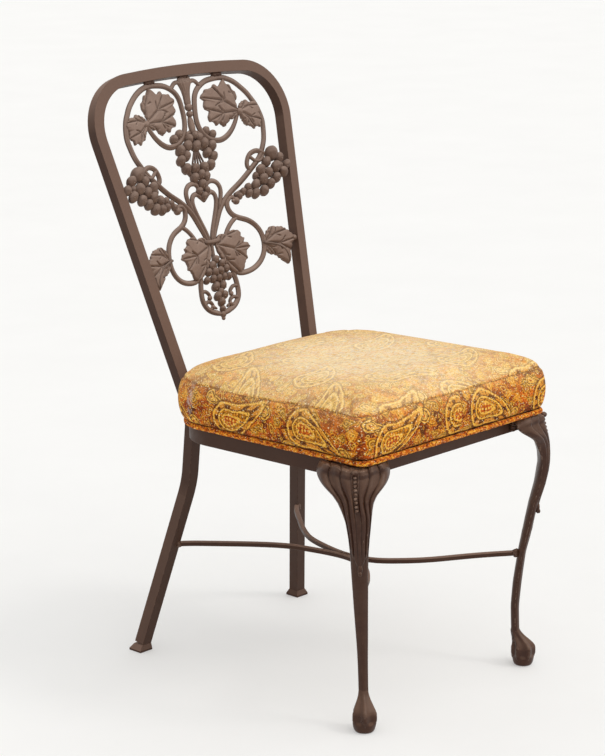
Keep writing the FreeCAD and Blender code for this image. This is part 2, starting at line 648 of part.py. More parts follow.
center = [(0, 431, 9.6, 2), (18.5, 434, 9.6, 2), (-18.5, 434, 9.6, 2), (36.5, 428, 9.4, 1), (-36.5, 428, 9.4, 1), (10, 446, 9.0, 0),
          (-10, 446, 9.0, 0), (37, 411, 9.0, 0), (-37, 411, 9.0, 0), (22, 416, 8.4, 1), (-22, 416, 8.4, 1), (28, 396, 9.2, 0),
          (-28, 396, 9.2, 0), (11, 395, 9.2, 2), (-11, 395, 9.2, 2), (13, 380, 8.8, 1), (-13, 380, 8.8, 1), (0, 383, 8.8, 2),
          (0, 367, 8.8, 2), (0, 352.5, 8.2, 1)]
cst = [([(0.7, 462), (0.2, 430), (0.9, 400), (-0.6, 372), (0.3, 355)], 3.4), ([(17, 438), (30, 447), (44, 449)], 6.0),
       ([(-17.5, 438.6), (-30.5, 446.6), (-44, 448.7)], 6.1), ([(-37.2, 427), (-18, 433.5), (18.4, 432.2), (37, 425.5)], 3.6),
       ([(37.3, 428), (38.1, 412), (28.2, 397), (13.3, 381)], 3.3), ([(-37, 428.5), (-38.4, 411.6), (-27.8, 397.3), (-13.1, 381.4)], 3.35)]
feature("center_grapes", cluster(center, cst, 1))
side = [(153, 397, 11.5, 2), (169, 387, 9.5, 2), (183.5, 372, 8.6, 2), (173, 362, 9.0, 2), (157, 371, 9.6, 3), (141, 382, 9.2, 1),
        (126, 370, 9.2, 2), (141, 364, 8.6, 2), (155, 353, 9.2, 2), (127, 354, 9.2, 2), (141, 346, 9.0, 1), (110, 349, 8.6, 2),
        (125, 336, 9.0, 1), (108, 335, 8.4, 1), (93, 349, 6.8, 1), (94, 339, 7.2, 1), (81, 343, 6.2, 1), (72, 337, 5.4, 1)]
pair("side_grapes", cluster(side, [([(74, 340), (94, 345), (112, 346), (132, 357), (165, 378), (183, 373)], 4.5), ([(95, 339), (110, 336), (125, 337), (142, 347), (156, 354), (172, 362)], 3.8),
                                                         ([(153, 396), (141, 381), (126, 369), (112, 350)], 3.8)], 2))
bottom = [(0, 238, 7.6, 4), (12, 229, 7.4, 4), (-12, 229, 7.4, 4), (22, 219, 7.2, 3), (-22, 219, 7.2, 3), (4, 218, 7.6, 4), (-8, 218, 7.6, 4),
          (8, 205, 8.4, 2), (-8, 205, 8.4, 2), (22, 206, 7.0, 1), (-22, 206, 7.0, 1), (7.5, 192, 8.2, 2), (-7.5, 192, 8.2, 2),
          (6.5, 179, 8.4, 2), (-6.5, 179, 8.4, 2), (0, 167, 7.6, 1)]
feature("bottom_grapes", cluster(bottom, [([(0, 269), (0, 240), (0, 205), (0, 154)], 3.4)], 1))


# leaves: flat lobed plates lying on the face of the bars


def leaf(name, pts, x0, w0, off, lean, turn):
    """pts are (x, w) outline points of the chair's left-hand leaf; the plate is placed tangent at (x0, w0)"""
    b = body_of(name + "_left")
    sk_ = new_sketch(b, name="outline_" + name)
    poly(sk_, [(x - x0, w - w0) for x, w in pts])
    pad(b, sk_, "leafthick", name="plate_" + name)
    # local x across, local y up the recline, local z to the front
    o = med(x0, w0, off)
    ex = (med(x0 + 5, w0, off) - med(x0 - 5, w0, off)).normalize()
    ew = (med(x0, w0 + 5, off) - med(x0, w0 - 5, off))
    ez = ex.cross(ew).normalize()
    ew = ez.cross(ex).normalize()
    mt = Matrix(ex.x, ew.x, ez.x, o.x, ex.y, ew.y, ez.y, o.y, ex.z, ew.z, ez.z, o.z, 0, 0, 0, 1)
    b.Placement = Placement(mt)
    doc.recompute()
    mirrored(b, name + "_right")
    return b


UPPER = [(108, 478), (101, 486), (103, 496), (107, 507), (103, 518), (97, 524), (90, 525), (84, 533), (76, 529), (68, 527), (60, 526), (50, 522), (42, 518),
         (33, 510), (40, 503), (32, 498), (38, 491), (36, 483), (44, 481), (39, 473), (41, 463), (50, 464), (57, 459), (65, 461), (71, 454), (80, 459), (85, 466), (92, 467), (99, 473)]
leaf("upper_leaf", UPPER, 70, 492, 3.0, 0, 0)
SIDE = [(106, 478), (112, 487), (122, 492), (132, 492), (140, 488), (150, 484), (153, 473), (151, 462), (146, 455), (143, 446), (137, 450), (131, 446), (124, 451), (116, 452), (111, 460), (107, 469)]
leaf("side_leaf", SIDE, 130, 470, 3.0, 0, 0)
LOWL = [(10, 268), (14, 276), (24, 279), (32, 277), (42, 281), (54, 281), (62, 277), (58, 272), (66, 267), (63, 262), (72, 258), (79, 251), (72, 247), (64, 245), (66, 238), (66, 230),
        (62, 226), (58, 223), (56, 217), (48, 213), (38, 215), (32, 219), (24, 226), (17, 234), (13, 244), (9, 255)]
leaf("lower_leaf", LOWL, 42, 247, 3.0, 0, 0)
OUTL = [(109, 253), (115, 262), (121, 270), (131, 275), (141, 273), (150, 271), (158, 266), (163, 258), (172.0, 253), (173, 247), (165, 245), (161, 238), (157, 230), (155, 221), (150, 212),
        (143, 217), (137, 222), (129, 230), (121, 232), (114, 238), (110, 245)]
leaf("outer_leaf", OUTL, 140, 248, -1.0, 0, 0)

# short beads that hold the ornament under the top rail
tops = []
for x_ in (-77, 0, 77):
    wtop = (wa - Ra) + math.sqrt(Ra * Ra - x_ * x_) - D["tube"] / 2
    tops.append(ellipsoid(*[c for c in hoop(x_, wtop - 1.0)], 7.0, 5.0, 4.5))
feature("medallion_top_welds", Part.makeCompound(tops))
sides_ = []
for sx in (1, -1):
    sides_.append(ellipsoid(*[c for c in hoop(sx * 187.5, 372.5, 4.0)], 4.5, 4.0, 4.0))
    sides_.append(ellipsoid(*[c for c in hoop(sx * 172.0, 250.0, 0.5)], 4.0, 4.0, 4.0))
feature("medallion_side_welds", Part.makeCompound(sides_))

# ---------------------------------------------------------------- output
doc.recompute()
os.makedirs("parts", exist_ok=True)
bad = []
for obj, name in made:
    shp = obj.Shape
    states = [s for s in obj.State if s in ("Invalid", "Error")]
    if states or shp.isNull() or not shp.isValid() or not shp.Solids:
        bad.append((name, states, shp.isNull(), None if shp.isNull() else shp.isValid()))
if bad:
    raise RuntimeError("bad parts: %s" % bad)
for obj, name in made:
    obj.Shape.exportStep("parts/%s.step" % name)
    print(name, round(obj.Shape.Volume), len(obj.Shape.Solids))
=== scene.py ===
import math

import bpy
import numpy as np
from mathutils import Matrix, Vector, noise


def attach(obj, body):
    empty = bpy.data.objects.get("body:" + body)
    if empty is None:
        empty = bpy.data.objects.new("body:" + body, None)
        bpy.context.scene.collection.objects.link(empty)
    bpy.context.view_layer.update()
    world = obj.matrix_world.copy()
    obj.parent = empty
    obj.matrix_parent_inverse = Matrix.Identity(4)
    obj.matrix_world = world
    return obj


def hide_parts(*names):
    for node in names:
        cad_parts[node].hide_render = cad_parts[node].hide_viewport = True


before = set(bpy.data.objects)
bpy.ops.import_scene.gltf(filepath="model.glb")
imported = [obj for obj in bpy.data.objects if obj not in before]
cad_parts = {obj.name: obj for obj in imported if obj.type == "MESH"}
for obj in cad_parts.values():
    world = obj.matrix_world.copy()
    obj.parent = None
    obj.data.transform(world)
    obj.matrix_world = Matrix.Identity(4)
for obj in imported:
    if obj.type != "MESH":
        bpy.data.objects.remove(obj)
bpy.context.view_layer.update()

MM = 0.001
rng = np.random.default_rng(7)

# ------------------------------------------------------------------ chair frame, in mm
OY = 27.37
EY, EZ = 0.3027, 0.9531
FRONT = np.array([0.0, -EZ, EY])


def hoop(x, w, o=0.0):
    """reclined plane of the back: x across, w up the recline, o towards the front"""
    x, w, o = np.broadcast_arrays(np.asarray(x, float), np.asarray(w, float), np.asarray(o, float))
    return np.stack([x, 106.45 + OY + EY * w - EZ * o, 412.0 + EZ * w + EY * o], -1)


def sag(x, w):
    x, w = np.asarray(x, float), np.asarray(w, float)
    t = np.clip((545.0 - w) / 330.0, 0.0, 1.3)
    a = 31.0 * (np.abs(x) / 172.0) ** 2 * np.clip((560.0 - w) / 150.0, 0.0, 1.0) + 1e-6
    c = 21.0 - (np.clip(w, 250.0, 520.0) - 375.0) * np.where(w < 375.0, 0.072, 0.12)
    return -27.0 * t + a * c / (a ** 4 + c ** 4) ** 0.25


def med(x, w, o=0.0):
    return hoop(x, w, sag(x, w) + o)


TILT = math.radians(1.24)


def seat(x, y, z):
    x, y, z = np.broadcast_arrays(np.asarray(x, float), np.asarray(y, float), np.asarray(z, float))
    return np.stack([x, -304.4 + OY + y * math.cos(TILT) + z * math.sin(TILT), 400.0 - y * math.sin(TILT) + z * math.cos(TILT)], -1)


# ------------------------------------------------------------------ mesh helpers
def mesh_object(name, verts, faces, smooth=True):
    me = bpy.data.meshes.new(name)
    me.from_pydata([tuple(v) for v in (np.asarray(verts, float) * MM)], [], [tuple(int(i) for i in f) for f in faces])
    me.validate()
    me.update()
    if smooth:
        me.polygons.foreach_set("use_smooth", [True] * len(me.polygons))
    ob = bpy.data.objects.new(name, me)
    bpy.context.scene.collection.objects.link(ob)
    return ob


class Shells:
    """several closed shells gathered into one mesh"""

    def __init__(self):
        self.v, self.f, self.n = [], [], 0

    def add(self, verts, faces):
        verts = np.asarray(verts, float).reshape(-1, 3)
        self.v.append(verts)
        self.f += [tuple(i + self.n for i in f) for f in faces]
        self.n += len(verts)

    def mirrored(self):
        s = Shells()
        for v in self.v:
            m = v.copy()
            m[:, 0] *= -1
            s.v.append(m)
        s.f = [tuple(reversed(f)) for f in self.f]
        s.n = self.n
        return s

    def make(self, name, smooth=True):
        return mesh_object(name, np.concatenate(self.v), self.f, smooth)


def spline(pts, step=1.5, closed=False):
    """natural cubic through the points, resampled at about the given step"""
    P = np.asarray(pts, float)
    if closed:
        k = min(4, len(P) - 1)
        P = np.concatenate([P[-k:], P, P[:k + 1]])
    d = np.sqrt((np.diff(P, axis=0) ** 2).sum(1))
    t = np.concatenate([[0], np.cumsum(np.sqrt(d) * np.sqrt(d.mean()))])
    n = len(P)
    h = np.diff(t)
    A = np.zeros((n, n))
    B = np.zeros((n, P.shape[1]))
    A[0, 0] = A[-1, -1] = 1
    for i in range(1, n - 1):
        A[i, i - 1], A[i, i], A[i, i + 1] = h[i - 1], 2 * (h[i - 1] + h[i]), h[i]
        B[i] = 6 * ((P[i + 1] - P[i]) / h[i] - (P[i] - P[i - 1]) / h[i - 1])
    M = np.linalg.solve(A, B)
    lo, hi = (t[k], t[k + len(pts)]) if closed else (t[0], t[-1])
    tt = np.linspace(lo, hi, 1200)
    j = np.clip(np.searchsorted(t, tt, side="right") - 1, 0, n - 2)
    a, b, hh = (t[j + 1] - tt)[:, None], (tt - t[j])[:, None], h[j][:, None]
    C = M[j] * a ** 3 / (6 * hh) + M[j + 1] * b ** 3 / (6 * hh) + (P[j] / hh - M[j] * hh / 6) * a + (P[j + 1] / hh - M[j + 1] * hh / 6) * b
    s = np.concatenate([[0], np.cumsum(np.sqrt((np.diff(C, axis=0) ** 2).sum(1)))])
    m = max(4, int(round(s[-1] / step)))
    u = np.linspace(0, s[-1], m + 1)
    if closed:
        u = u[:-1]
    return np.stack([np.interp(u, s, C[:, i]) for i in range(C.shape[1])], 1)


def unit(a):
    return a / np.maximum(np.linalg.norm(a, axis=-1, keepdims=True), 1e-12)


def sweep(shell, path, front, profile, scale=None, closed=False, cap=True):
    """profile is (m, 2): first number across the bar, second towards the front; scale has one number per point"""
    path = np.asarray(path, float)
    n = len(path)
    if closed:
        tan = unit(np.roll(path, -1, 0) - np.roll(path, 1, 0))
    else:
        tan = unit(np.gradient(path, axis=0))
    fr = np.broadcast_to(np.asarray(front, float), (n, 3))
    side = unit(np.cross(tan, fr))
    up = np.cross(side, tan)
    sc = np.ones(n) if scale is None else np.asarray(scale, float)
    prof = np.asarray(profile, float)
    if prof.ndim == 2:
        prof = np.broadcast_to(prof, (n,) + prof.shape)
    m = prof.shape[1]
    rings = [path[i] + sc[i] * (prof[i][:, :1] * side[i] + prof[i][:, 1:] * up[i]) for i in range(n)]
    if cap and not closed:
        r0 = np.abs(prof[0]).max() * sc[0]
        r1 = np.abs(prof[-1]).max() * sc[-1]
        head, tail = [], []
        for k in (0.35, 0.7, 0.93):
            q = math.sqrt(1 - k * k)
            head.insert(0, path[0] - tan[0] * r0 * k + q * sc[0] * (prof[0][:, :1] * side[0] + prof[0][:, 1:] * up[0]))
            tail.append(path[-1] + tan[-1] * r1 * k + q * sc[-1] * (prof[-1][:, :1] * side[-1] + prof[-1][:, 1:] * up[-1]))
        rings = head + rings + tail
        ends = (path[0] - tan[0] * r0, path[-1] + tan[-1] * r1)
    v = np.concatenate(rings)
    f = []
    R = len(rings)
    for i in range(R if closed else R - 1):
        a, b = i * m, ((i + 1) % R) * m
        for k in range(m):
            k2 = (k + 1) % m
            f.append((a + k, a + k2, b + k2, b + k))
    if not closed:
        if cap:
            v = np.concatenate([v, [ends[0], ends[1]]])
            for k in range(m):
                k2 = (k + 1) % m
                f.append((len(v) - 2, k2, k))
                f.append((len(v) - 1, (R - 1) * m + k, (R - 1) * m + k2))
        else:
            f.append(tuple(range(m))[::-1])
            f.append(tuple((R - 1) * m + k for k in range(m)))
    shell.add(v, f)


def circle(r, m=16, squash=1.0):
    a = np.linspace(0, 2 * math.pi, m, endpoint=False)
    return np.stack([r * np.cos(a), r * squash * np.sin(a)], 1)


def bead_bar(r, inner=1.0, m=22):
    """cast bar: a round bead with a smaller bead beside it and a groove between them"""
    a = np.linspace(0, 2 * math.pi, m, endpoint=False)
    out = np.zeros((m, 2))
    discs = [(-0.22 * r * inner, 0.0, 0.80 * r), (0.62 * r * inner, -0.06 * r, 0.43 * r)]
    for i, t in enumerate(a):
        d = np.array([math.cos(t), math.sin(t)])
        best = 0.0
        for cx, cy, rr in discs:
            c = np.array([cx, cy])
            b = d @ c
            q = b * b - (c @ c - rr * rr)
            if q > 0:
                best = max(best, b + math.sqrt(q))
        out[i] = d * best
    return out


_ico = {}


def ico(sub):
    if sub not in _ico:
        g = (1 + 5 ** 0.5) / 2
        v = [(-1, g, 0), (1, g, 0), (-1, -g, 0), (1, -g, 0), (0, -1, g), (0, 1, g), (0, -1, -g), (0, 1, -g), (g, 0, -1), (g, 0, 1), (-g, 0, -1), (-g, 0, 1)]
        v = [tuple(unit(np.array(p, float))) for p in v]
        f = [(0, 11, 5), (0, 5, 1), (0, 1, 7), (0, 7, 10), (0, 10, 11), (1, 5, 9), (5, 11, 4), (11, 10, 2), (10, 7, 6), (7, 1, 8),
             (3, 9, 4), (3, 4, 2), (3, 2, 6), (3, 6, 8), (3, 8, 9), (4, 9, 5), (2, 4, 11), (6, 2, 10), (8, 6, 7), (9, 8, 1)]
        for _ in range(sub):
            mid, nf = {}, []

            def half(a, b):
                k = (min(a, b), max(a, b))
                if k not in mid:
                    mid[k] = len(v)
                    v.append(tuple(unit(np.array(v[a]) + np.array(v[b]))))
                return mid[k]
            for a, b, c in f:
                ab, bc, ca = half(a, b), half(b, c), half(c, a)
                nf += [(a, ab, ca), (b, bc, ab), (c, ca, bc), (ab, bc, ca)]
            f = nf
        _ico[sub] = (np.array(v), f)
    return _ico[sub]


def lump(shell, centre, radii, axes=None, rough=0.06, freq=1.6, sub=3, seed=0):
    """casting lump: a ball pushed about by smooth noise"""
    v, f = ico(sub)
    k = np.array([1 + rough * noise.noise(Vector(p) * freq + Vector((seed * 3.7, seed * 1.3, 5.1))) for p in v])
    q = v * k[:, None] * np.asarray(radii, float)
    if axes is not None:
        q = q @ np.asarray(axes, float)
    shell.add(q + np.asarray(centre, float), f)


# ------------------------------------------------------------------ node materials
def new_material(name):
    m = bpy.data.materials.new(name)
    m.use_nodes = True
    nt = m.node_tree
    nt.nodes.clear()
    return m, nt


class G:
    """small writer for node graphs"""

    def __init__(self, nt):
        self.nt = nt

    def node(self, kind, **props):
        n = self.nt.nodes.new(kind)
        for k, v in props.items():
            setattr(n, k, v)
        return n

    def put(self, sock, val):
        if isinstance(val, bpy.types.NodeSocket):
            self.nt.links.new(val, sock)
        elif val is not None:
            sock.default_value = val

    def math(self, op, a, b=None, c=None, clamp=False):
        n = self.node("ShaderNodeMath", operation=op, use_clamp=clamp)
        for i, v in enumerate((a, b, c)):
            if v is not None:
                self.put(n.inputs[i], v)
        return n.outputs[0]

    def vec(self, op, a, b=None, c=None, scale=None):
        n = self.node("ShaderNodeVectorMath", operation=op)
        for i, v in enumerate((a, b, c)):
            if v is not None:
                self.put(n.inputs[i], v)
        if scale is not None:
            self.put(n.inputs["Scale"], scale)
        return n.outputs[1] if op in ("LENGTH", "DOT_PRODUCT", "DISTANCE") else n.outputs[0]

    def noise(self, vec, scale, detail=2.0, rough=0.5, dims="3D", out="Fac", dist=0.0):
        n = self.node("ShaderNodeTexNoise", noise_dimensions=dims)
        self.put(n.inputs["Vector"], vec)
        n.inputs["Scale"].default_value = scale
        n.inputs["Detail"].default_value = detail
        n.inputs["Roughness"].default_value = rough
        n.inputs["Distortion"].default_value = dist
        return n.outputs[out]

    def ramp(self, fac, stops, interp="LINEAR"):
        n = self.node("ShaderNodeValToRGB")
        n.color_ramp.interpolation = interp
        el = n.color_ramp.elements
        while len(el) < len(stops):
            el.new(0.5)
        for e, (p, c) in zip(el, stops):
            e.position = p
            e.color = c if len(c) == 4 else tuple(c) + (1.0,)
        self.put(n.inputs[0], fac)
        return n.outputs[0]

    def mix(self, fac, a, b, blend="MIX"):
        n = self.node("ShaderNodeMix", data_type="RGBA", blend_type=blend)
        n.clamp_factor = True
        self.put(n.inputs[0], fac)
        for s, v in ((n.inputs[6], a), (n.inputs[7], b)):
            self.put(s, v if isinstance(v, bpy.types.NodeSocket) or len(v) == 4 else tuple(v) + (1.0,))
        return n.outputs[2]

    def remap(self, v, a, b, c=0.0, d=1.0, smooth=False):
        n = self.node("ShaderNodeMapRange", interpolation_type="SMOOTHSTEP" if smooth else "LINEAR")
        n.clamp = True
        self.put(n.inputs[0], v)
        for i, q in enumerate((a, b, c, d)):
            self.put(n.inputs[i + 1], q)
        return n.outputs[0]


def paint_material(name, base=(0.050, 0.021, 0.011), warm=(0.042, 0.015, 0.007), pale=(0.085, 0.046, 0.029), chip=(0.36, 0.25, 0.19), rough=0.46,
                   cast=0.0, wear=1.0, bevel=0.0, dust_and_sheen_colour=(0.268, 0.178, 0.138), dust_and_sheen_amount=0.55, specks_on=0.0, gloss=0.22,
                   ridge=(0.52, 0.60), hollow_shade_at=(0.40, 0.49)):
    m, nt = new_material(name)
    g = G(nt)
    out = g.node("ShaderNodeOutputMaterial")
    bs = g.node("ShaderNodeBsdfPrincipled")
    co = g.node("ShaderNodeTexCoord").outputs["Object"]
    geo = g.node("ShaderNodeNewGeometry")
    big = g.noise(co, 9.0, 4.0, 0.6)
    mid = g.noise(co, 55.0, 4.0, 0.62)
    fine = g.noise(co, 420.0, 3.0, 0.6)
    grain = g.noise(co, 1500.0, 2.0, 0.6)
    c = g.mix(g.remap(big, 0.35, 0.65, smooth=True), base, warm)
    c = g.mix(g.math("MULTIPLY", g.remap(mid, 0.42, 0.72, smooth=True), 0.16 + 0.3 * cast), c, pale)
    c = g.mix(g.math("MULTIPLY", g.remap(fine, 0.35, 0.75), 0.10 + 0.3 * cast), c, pale)
    # soft dust on what faces up, partly painted light: faces turned up and towards the front are lightened towards the
    # dust colour as a painted sheen on the lit side
    up = g.node("ShaderNodeSeparateXYZ")
    g.put(up.inputs[0], geo.outputs["Normal"])
    d = g.math("MULTIPLY", g.remap(up.outputs[2], 0.02, 0.95), g.remap(mid, 0.3, 0.7, 0.86 - 0.2 * cast, 1.10 + 0.15 * cast))
    front = g.math("MULTIPLY", g.remap(up.outputs[1], -0.1, -1.0), g.remap(fine, 0.3, 0.7, 0.44 - 0.1 * cast, 0.52 + 0.1 * cast))
    d = g.math("MULTIPLY", g.math("MAXIMUM", d, g.math("MULTIPLY", front, g.remap(up.outputs[2], 0.0, 0.25))), dust_and_sheen_amount, clamp=True)
    c = g.mix(d, c, dust_and_sheen_colour)
    # rubbed paint along the sharp edges
    bv = None
    if bevel:
        bv = g.node("ShaderNodeBevel", samples=6)
        bv.inputs["Radius"].default_value = bevel
        edge = g.remap(g.vec("DOT_PRODUCT", bv.outputs[0], geo.outputs["Normal"]), 0.80, 0.97, 1.0, 0.0)
    else:
        edge = g.remap(geo.outputs["Pointiness"], *ridge)
    spots = g.remap(g.noise(co, 160.0, 5.0, 0.7), 0.46, 0.64)
    e = g.math("MULTIPLY", g.math("MULTIPLY", edge, spots), 0.75 * wear, clamp=True)
    if specks_on:
        specks = g.remap(g.noise(co, 210.0, 2.0, 0.5), 0.76, 0.79)
        e = g.math("MAXIMUM", e, g.math("MULTIPLY", specks, specks_on))
    c = g.mix(e, c, chip)
    if not bevel:
        # painted shade: low pointiness marks hollows and grooves, and the colour there is darkened towards near-black
        # brown as their shade
        hollow_shade = g.remap(geo.outputs["Pointiness"], *hollow_shade_at)
        c = g.mix(g.math("MULTIPLY", g.math("SUBTRACT", 1.0, hollow_shade, clamp=True), 0.85), c, (0.014, 0.006, 0.004))
    g.put(bs.inputs["Base Color"], c)
    r = g.remap(mid, 0.3, 0.7, rough - 0.07, rough + 0.12)
    r = g.math("ADD", r, g.math("MULTIPLY", d, 0.25), clamp=True)
    g.put(bs.inputs["Roughness"], r)
    bs.inputs["Metallic"].default_value = 0.0
    bs.inputs["Specular IOR Level"].default_value = gloss
    h = g.math("ADD", g.math("MULTIPLY", fine, 0.14 + cast), g.math("MULTIPLY", grain, 0.08 + 0.25 * cast))
    h = g.math("ADD", h, g.math("MULTIPLY", mid, 0.4 + cast * 2.2))
    b = g.node("ShaderNodeBump")
    b.inputs["Strength"].default_value = 0.35 + 0.2 * cast
    b.inputs["Distance"].default_value = 0.0006
    g.put(b.inputs["Height"], h)
    if bv is not None:
        g.put(b.inputs["Normal"], bv.outputs[0])
    g.put(bs.inputs["Normal"], b.outputs[0])
    g.put(out.inputs[0], bs.outputs[0])
    return m


def wood_material(name):
    m, nt = new_material(name)
    g = G(nt)
    out = g.node("ShaderNodeOutputMaterial")
    bs = g.node("ShaderNodeBsdfPrincipled")
    co = g.node("ShaderNodeTexCoord").outputs["Object"]
    mp = g.node("ShaderNodeMapping")
    mp.inputs["Scale"].default_value = (6.0, 90.0, 90.0)
    g.put(mp.inputs[0], co)
    gr = g.noise(mp.outputs[0], 1.0, 6.0, 0.62, dist=0.6)
    c = g.ramp(gr, [(0.3, (0.20, 0.115, 0.055)), (0.5, (0.36, 0.235, 0.125)), (0.72, (0.47, 0.33, 0.19))])
    kn = g.remap(g.noise(co, 5.0, 2.0), 0.62, 0.72)
    c = g.mix(g.math("MULTIPLY", kn, 0.6), c, (0.15, 0.075, 0.035))
    g.put(bs.inputs["Base Color"], c)
    bs.inputs["Roughness"].default_value = 0.72
    b = g.node("ShaderNodeBump")
    b.inputs["Strength"].default_value = 0.3
    b.inputs["Distance"].default_value = 0.0006
    g.put(b.inputs["Height"], gr)
    g.put(bs.inputs["Normal"], b.outputs[0])
    g.put(out.inputs[0], bs.outputs[0])
    return m


def zinc_material(name):
    m, nt = new_material(name)
    g = G(nt)
    out = g.node("ShaderNodeOutputMaterial")
    bs = g.node("ShaderNodeBsdfPrincipled")
    co = g.node("ShaderNodeTexCoord").outputs["Object"]
    n1 = g.noise(co, 300.0, 4.0, 0.6)
    c = g.ramp(n1, [(0.35, (0.30, 0.29, 0.27)), (0.65, (0.55, 0.54, 0.50))])
    rust = g.remap(g.noise(co, 120.0, 4.0, 0.7), 0.55, 0.68)
    c = g.mix(g.math("MULTIPLY", rust, 0.7), c, (0.22, 0.09, 0.04))
    g.put(bs.inputs["Base Color"], c)
    bs.inputs["Metallic"].default_value = 0.85
    g.put(bs.inputs["Roughness"], g.remap(n1, 0.3, 0.7, 0.35, 0.6))
    g.put(out.inputs[0], bs.outputs[0])
    return m


def fabric_material(name, welt=False):
    """chenille paisley: gold outlines round olive and rust drops on a dark rust ground with small flowers"""
    m, nt = new_material(name)
    g = G(nt)
    out = g.node("ShaderNodeOutputMaterial")
    bs = g.node("ShaderNodeBsdfPrincipled")
    uv0 = g.node("ShaderNodeUVMap", uv_map="cloth").outputs[0]
    co = g.node("ShaderNodeTexCoord").outputs["Object"]
    geo = g.node("ShaderNodeNewGeometry")
    CREAM, GOLD, OLIVE, RUST, ORANGE, DARK, TAN = ((0.96, 0.52, 0.070), (0.72, 0.245, 0.009), (0.28, 0.112, 0.004), (0.31, 0.036, 0.002), (0.66, 0.125, 0.005),
                                                   (0.070, 0.009, 0.002), (0.66, 0.26, 0.030))

    def wobble(v, scale, amount):
        nn = g.noise(v, scale, 2.0, 0.5, out="Color")
        off = g.vec("SUBTRACT", nn, (0.5, 0.5, 0.5))
        return g.vec("MULTIPLY_ADD", off, (amount, amount, 0.0), v)

    def cells(v, scale, rnd=0.7):
        n = g.node("ShaderNodeTexVoronoi", voronoi_dimensions="2D", feature="F1")
        g.put(n.inputs["Vector"], v)
        n.inputs["Scale"].default_value = scale
        n.inputs["Randomness"].default_value = rnd
        return n

    def line(v, at, width):
        d = g.math("ABSOLUTE", g.math("SUBTRACT", v, at))
        return g.remap(d, width * 0.55, width, 1.0, 0.0)

    def inside(v, at, soft=0.02):
        return g.remap(v, at - soft, at + soft, 1.0, 0.0)

    def small_drop(v, scale, rnd, size, stretch=0.47):
        n = cells(v, scale, rnd)
        loc = g.vec("SUBTRACT", g.vec("SCALE", v, scale=scale), g.vec("SCALE", n.outputs["Position"], scale=scale))
        sx = g.node("ShaderNodeSeparateColor")
        g.put(sx.inputs[0], n.outputs["Color"])
        ang = g.math("MULTIPLY", sx.outputs[0], 6.283)
        ro = g.node("ShaderNodeVectorRotate", rotation_type="Z_AXIS")
        g.put(ro.inputs["Vector"], loc)
        g.put(ro.inputs["Angle"], ang)
        q = g.node("ShaderNodeSeparateXYZ")
        g.put(q.inputs[0], ro.outputs[0])
        x = g.math("ADD", g.math("DIVIDE", q.outputs[0], size), 0.25)
        y = g.math("DIVIDE", q.outputs[1], size)
        xp = g.math("MAXIMUM", x, 0.0)
        xn = g.math("MINIMUM", x, 0.0)
        ax = g.math("ADD", g.math("MULTIPLY", xp, stretch), xn)
        by = g.math("MULTIPLY", y, g.math("MULTIPLY_ADD", xp, 0.75, 1.0))
        f = g.math("SQRT", g.math("ADD", g.math("MULTIPLY", ax, ax), g.math("MULTIPLY", by, by)))
        return f, sx.outputs[2]

    CU, CV = 0.158, 0.088

    def lattice(v, du, dv):
        """place inside the repeat, and which repeat it is"""
        q = g.node("ShaderNodeSeparateXYZ")
        g.put(q.inputs[0], v)
        vv = g.math("ADD", g.math("DIVIDE", q.outputs[1], CV), dv)
        row = g.math("FLOOR", vv)
        shift = g.math("MULTIPLY", g.math("MODULO", g.math("ADD", row, 40.0), 2.0), 0.5)
        uu = g.math("ADD", g.math("ADD", g.math("DIVIDE", q.outputs[0], CU), du), shift)
        col = g.math("FLOOR", uu)
        fu = g.math("MULTIPLY", g.math("SUBTRACT", g.math("SUBTRACT", uu, col), 0.5), CU)
        fv = g.math("MULTIPLY", g.math("SUBTRACT", g.math("SUBTRACT", vv, row), 0.5), CV)
        return fu, fv, g.math("MODULO", g.math("ADD", g.math("ADD", col, row), 80.0), 2.0)

    def paisley(fu, fv, par, hx, hy, R, L, bend, turn):
        """curved drop: round head at (hx, hy), tail of length L that hooks; every other one is upside down"""
        flip = g.math("MULTIPLY_ADD", par, -2.0, 1.0)
        x0 = g.math("SUBTRACT", fu, hx)
        y0 = g.math("SUBTRACT", g.math("MULTIPLY", fv, flip), hy)
        ca, sa_ = math.cos(turn), math.sin(turn)
        x = g.math("ADD", g.math("MULTIPLY", x0, ca), g.math("MULTIPLY", y0, sa_))
        y = g.math("SUBTRACT", g.math("MULTIPLY", y0, ca), g.math("MULTIPLY", x0, sa_))
        xp = g.math("MAXIMUM", x, 0.0)
        y = g.math("SUBTRACT", y, g.math("MULTIPLY", g.math("MULTIPLY", xp, xp), bend))
        xn = g.math("MINIMUM", x, 0.0)
        ax = g.math("ADD", g.math("DIVIDE", xp, L), g.math("DIVIDE", xn, R))
        by = g.math("MULTIPLY", g.math("DIVIDE", y, R), g.math("MULTIPLY_ADD", xp, 0.75 / L, 1.0))
        f = g.math("SQRT", g.math("ADD", g.math("MULTIPLY", ax, ax), g.math("MULTIPLY", by, by)))
        return f, g.math("ARCTAN2", by, ax)

    uv = wobble(wobble(uv0, 30.0, 0.006), 150.0, 0.0036)
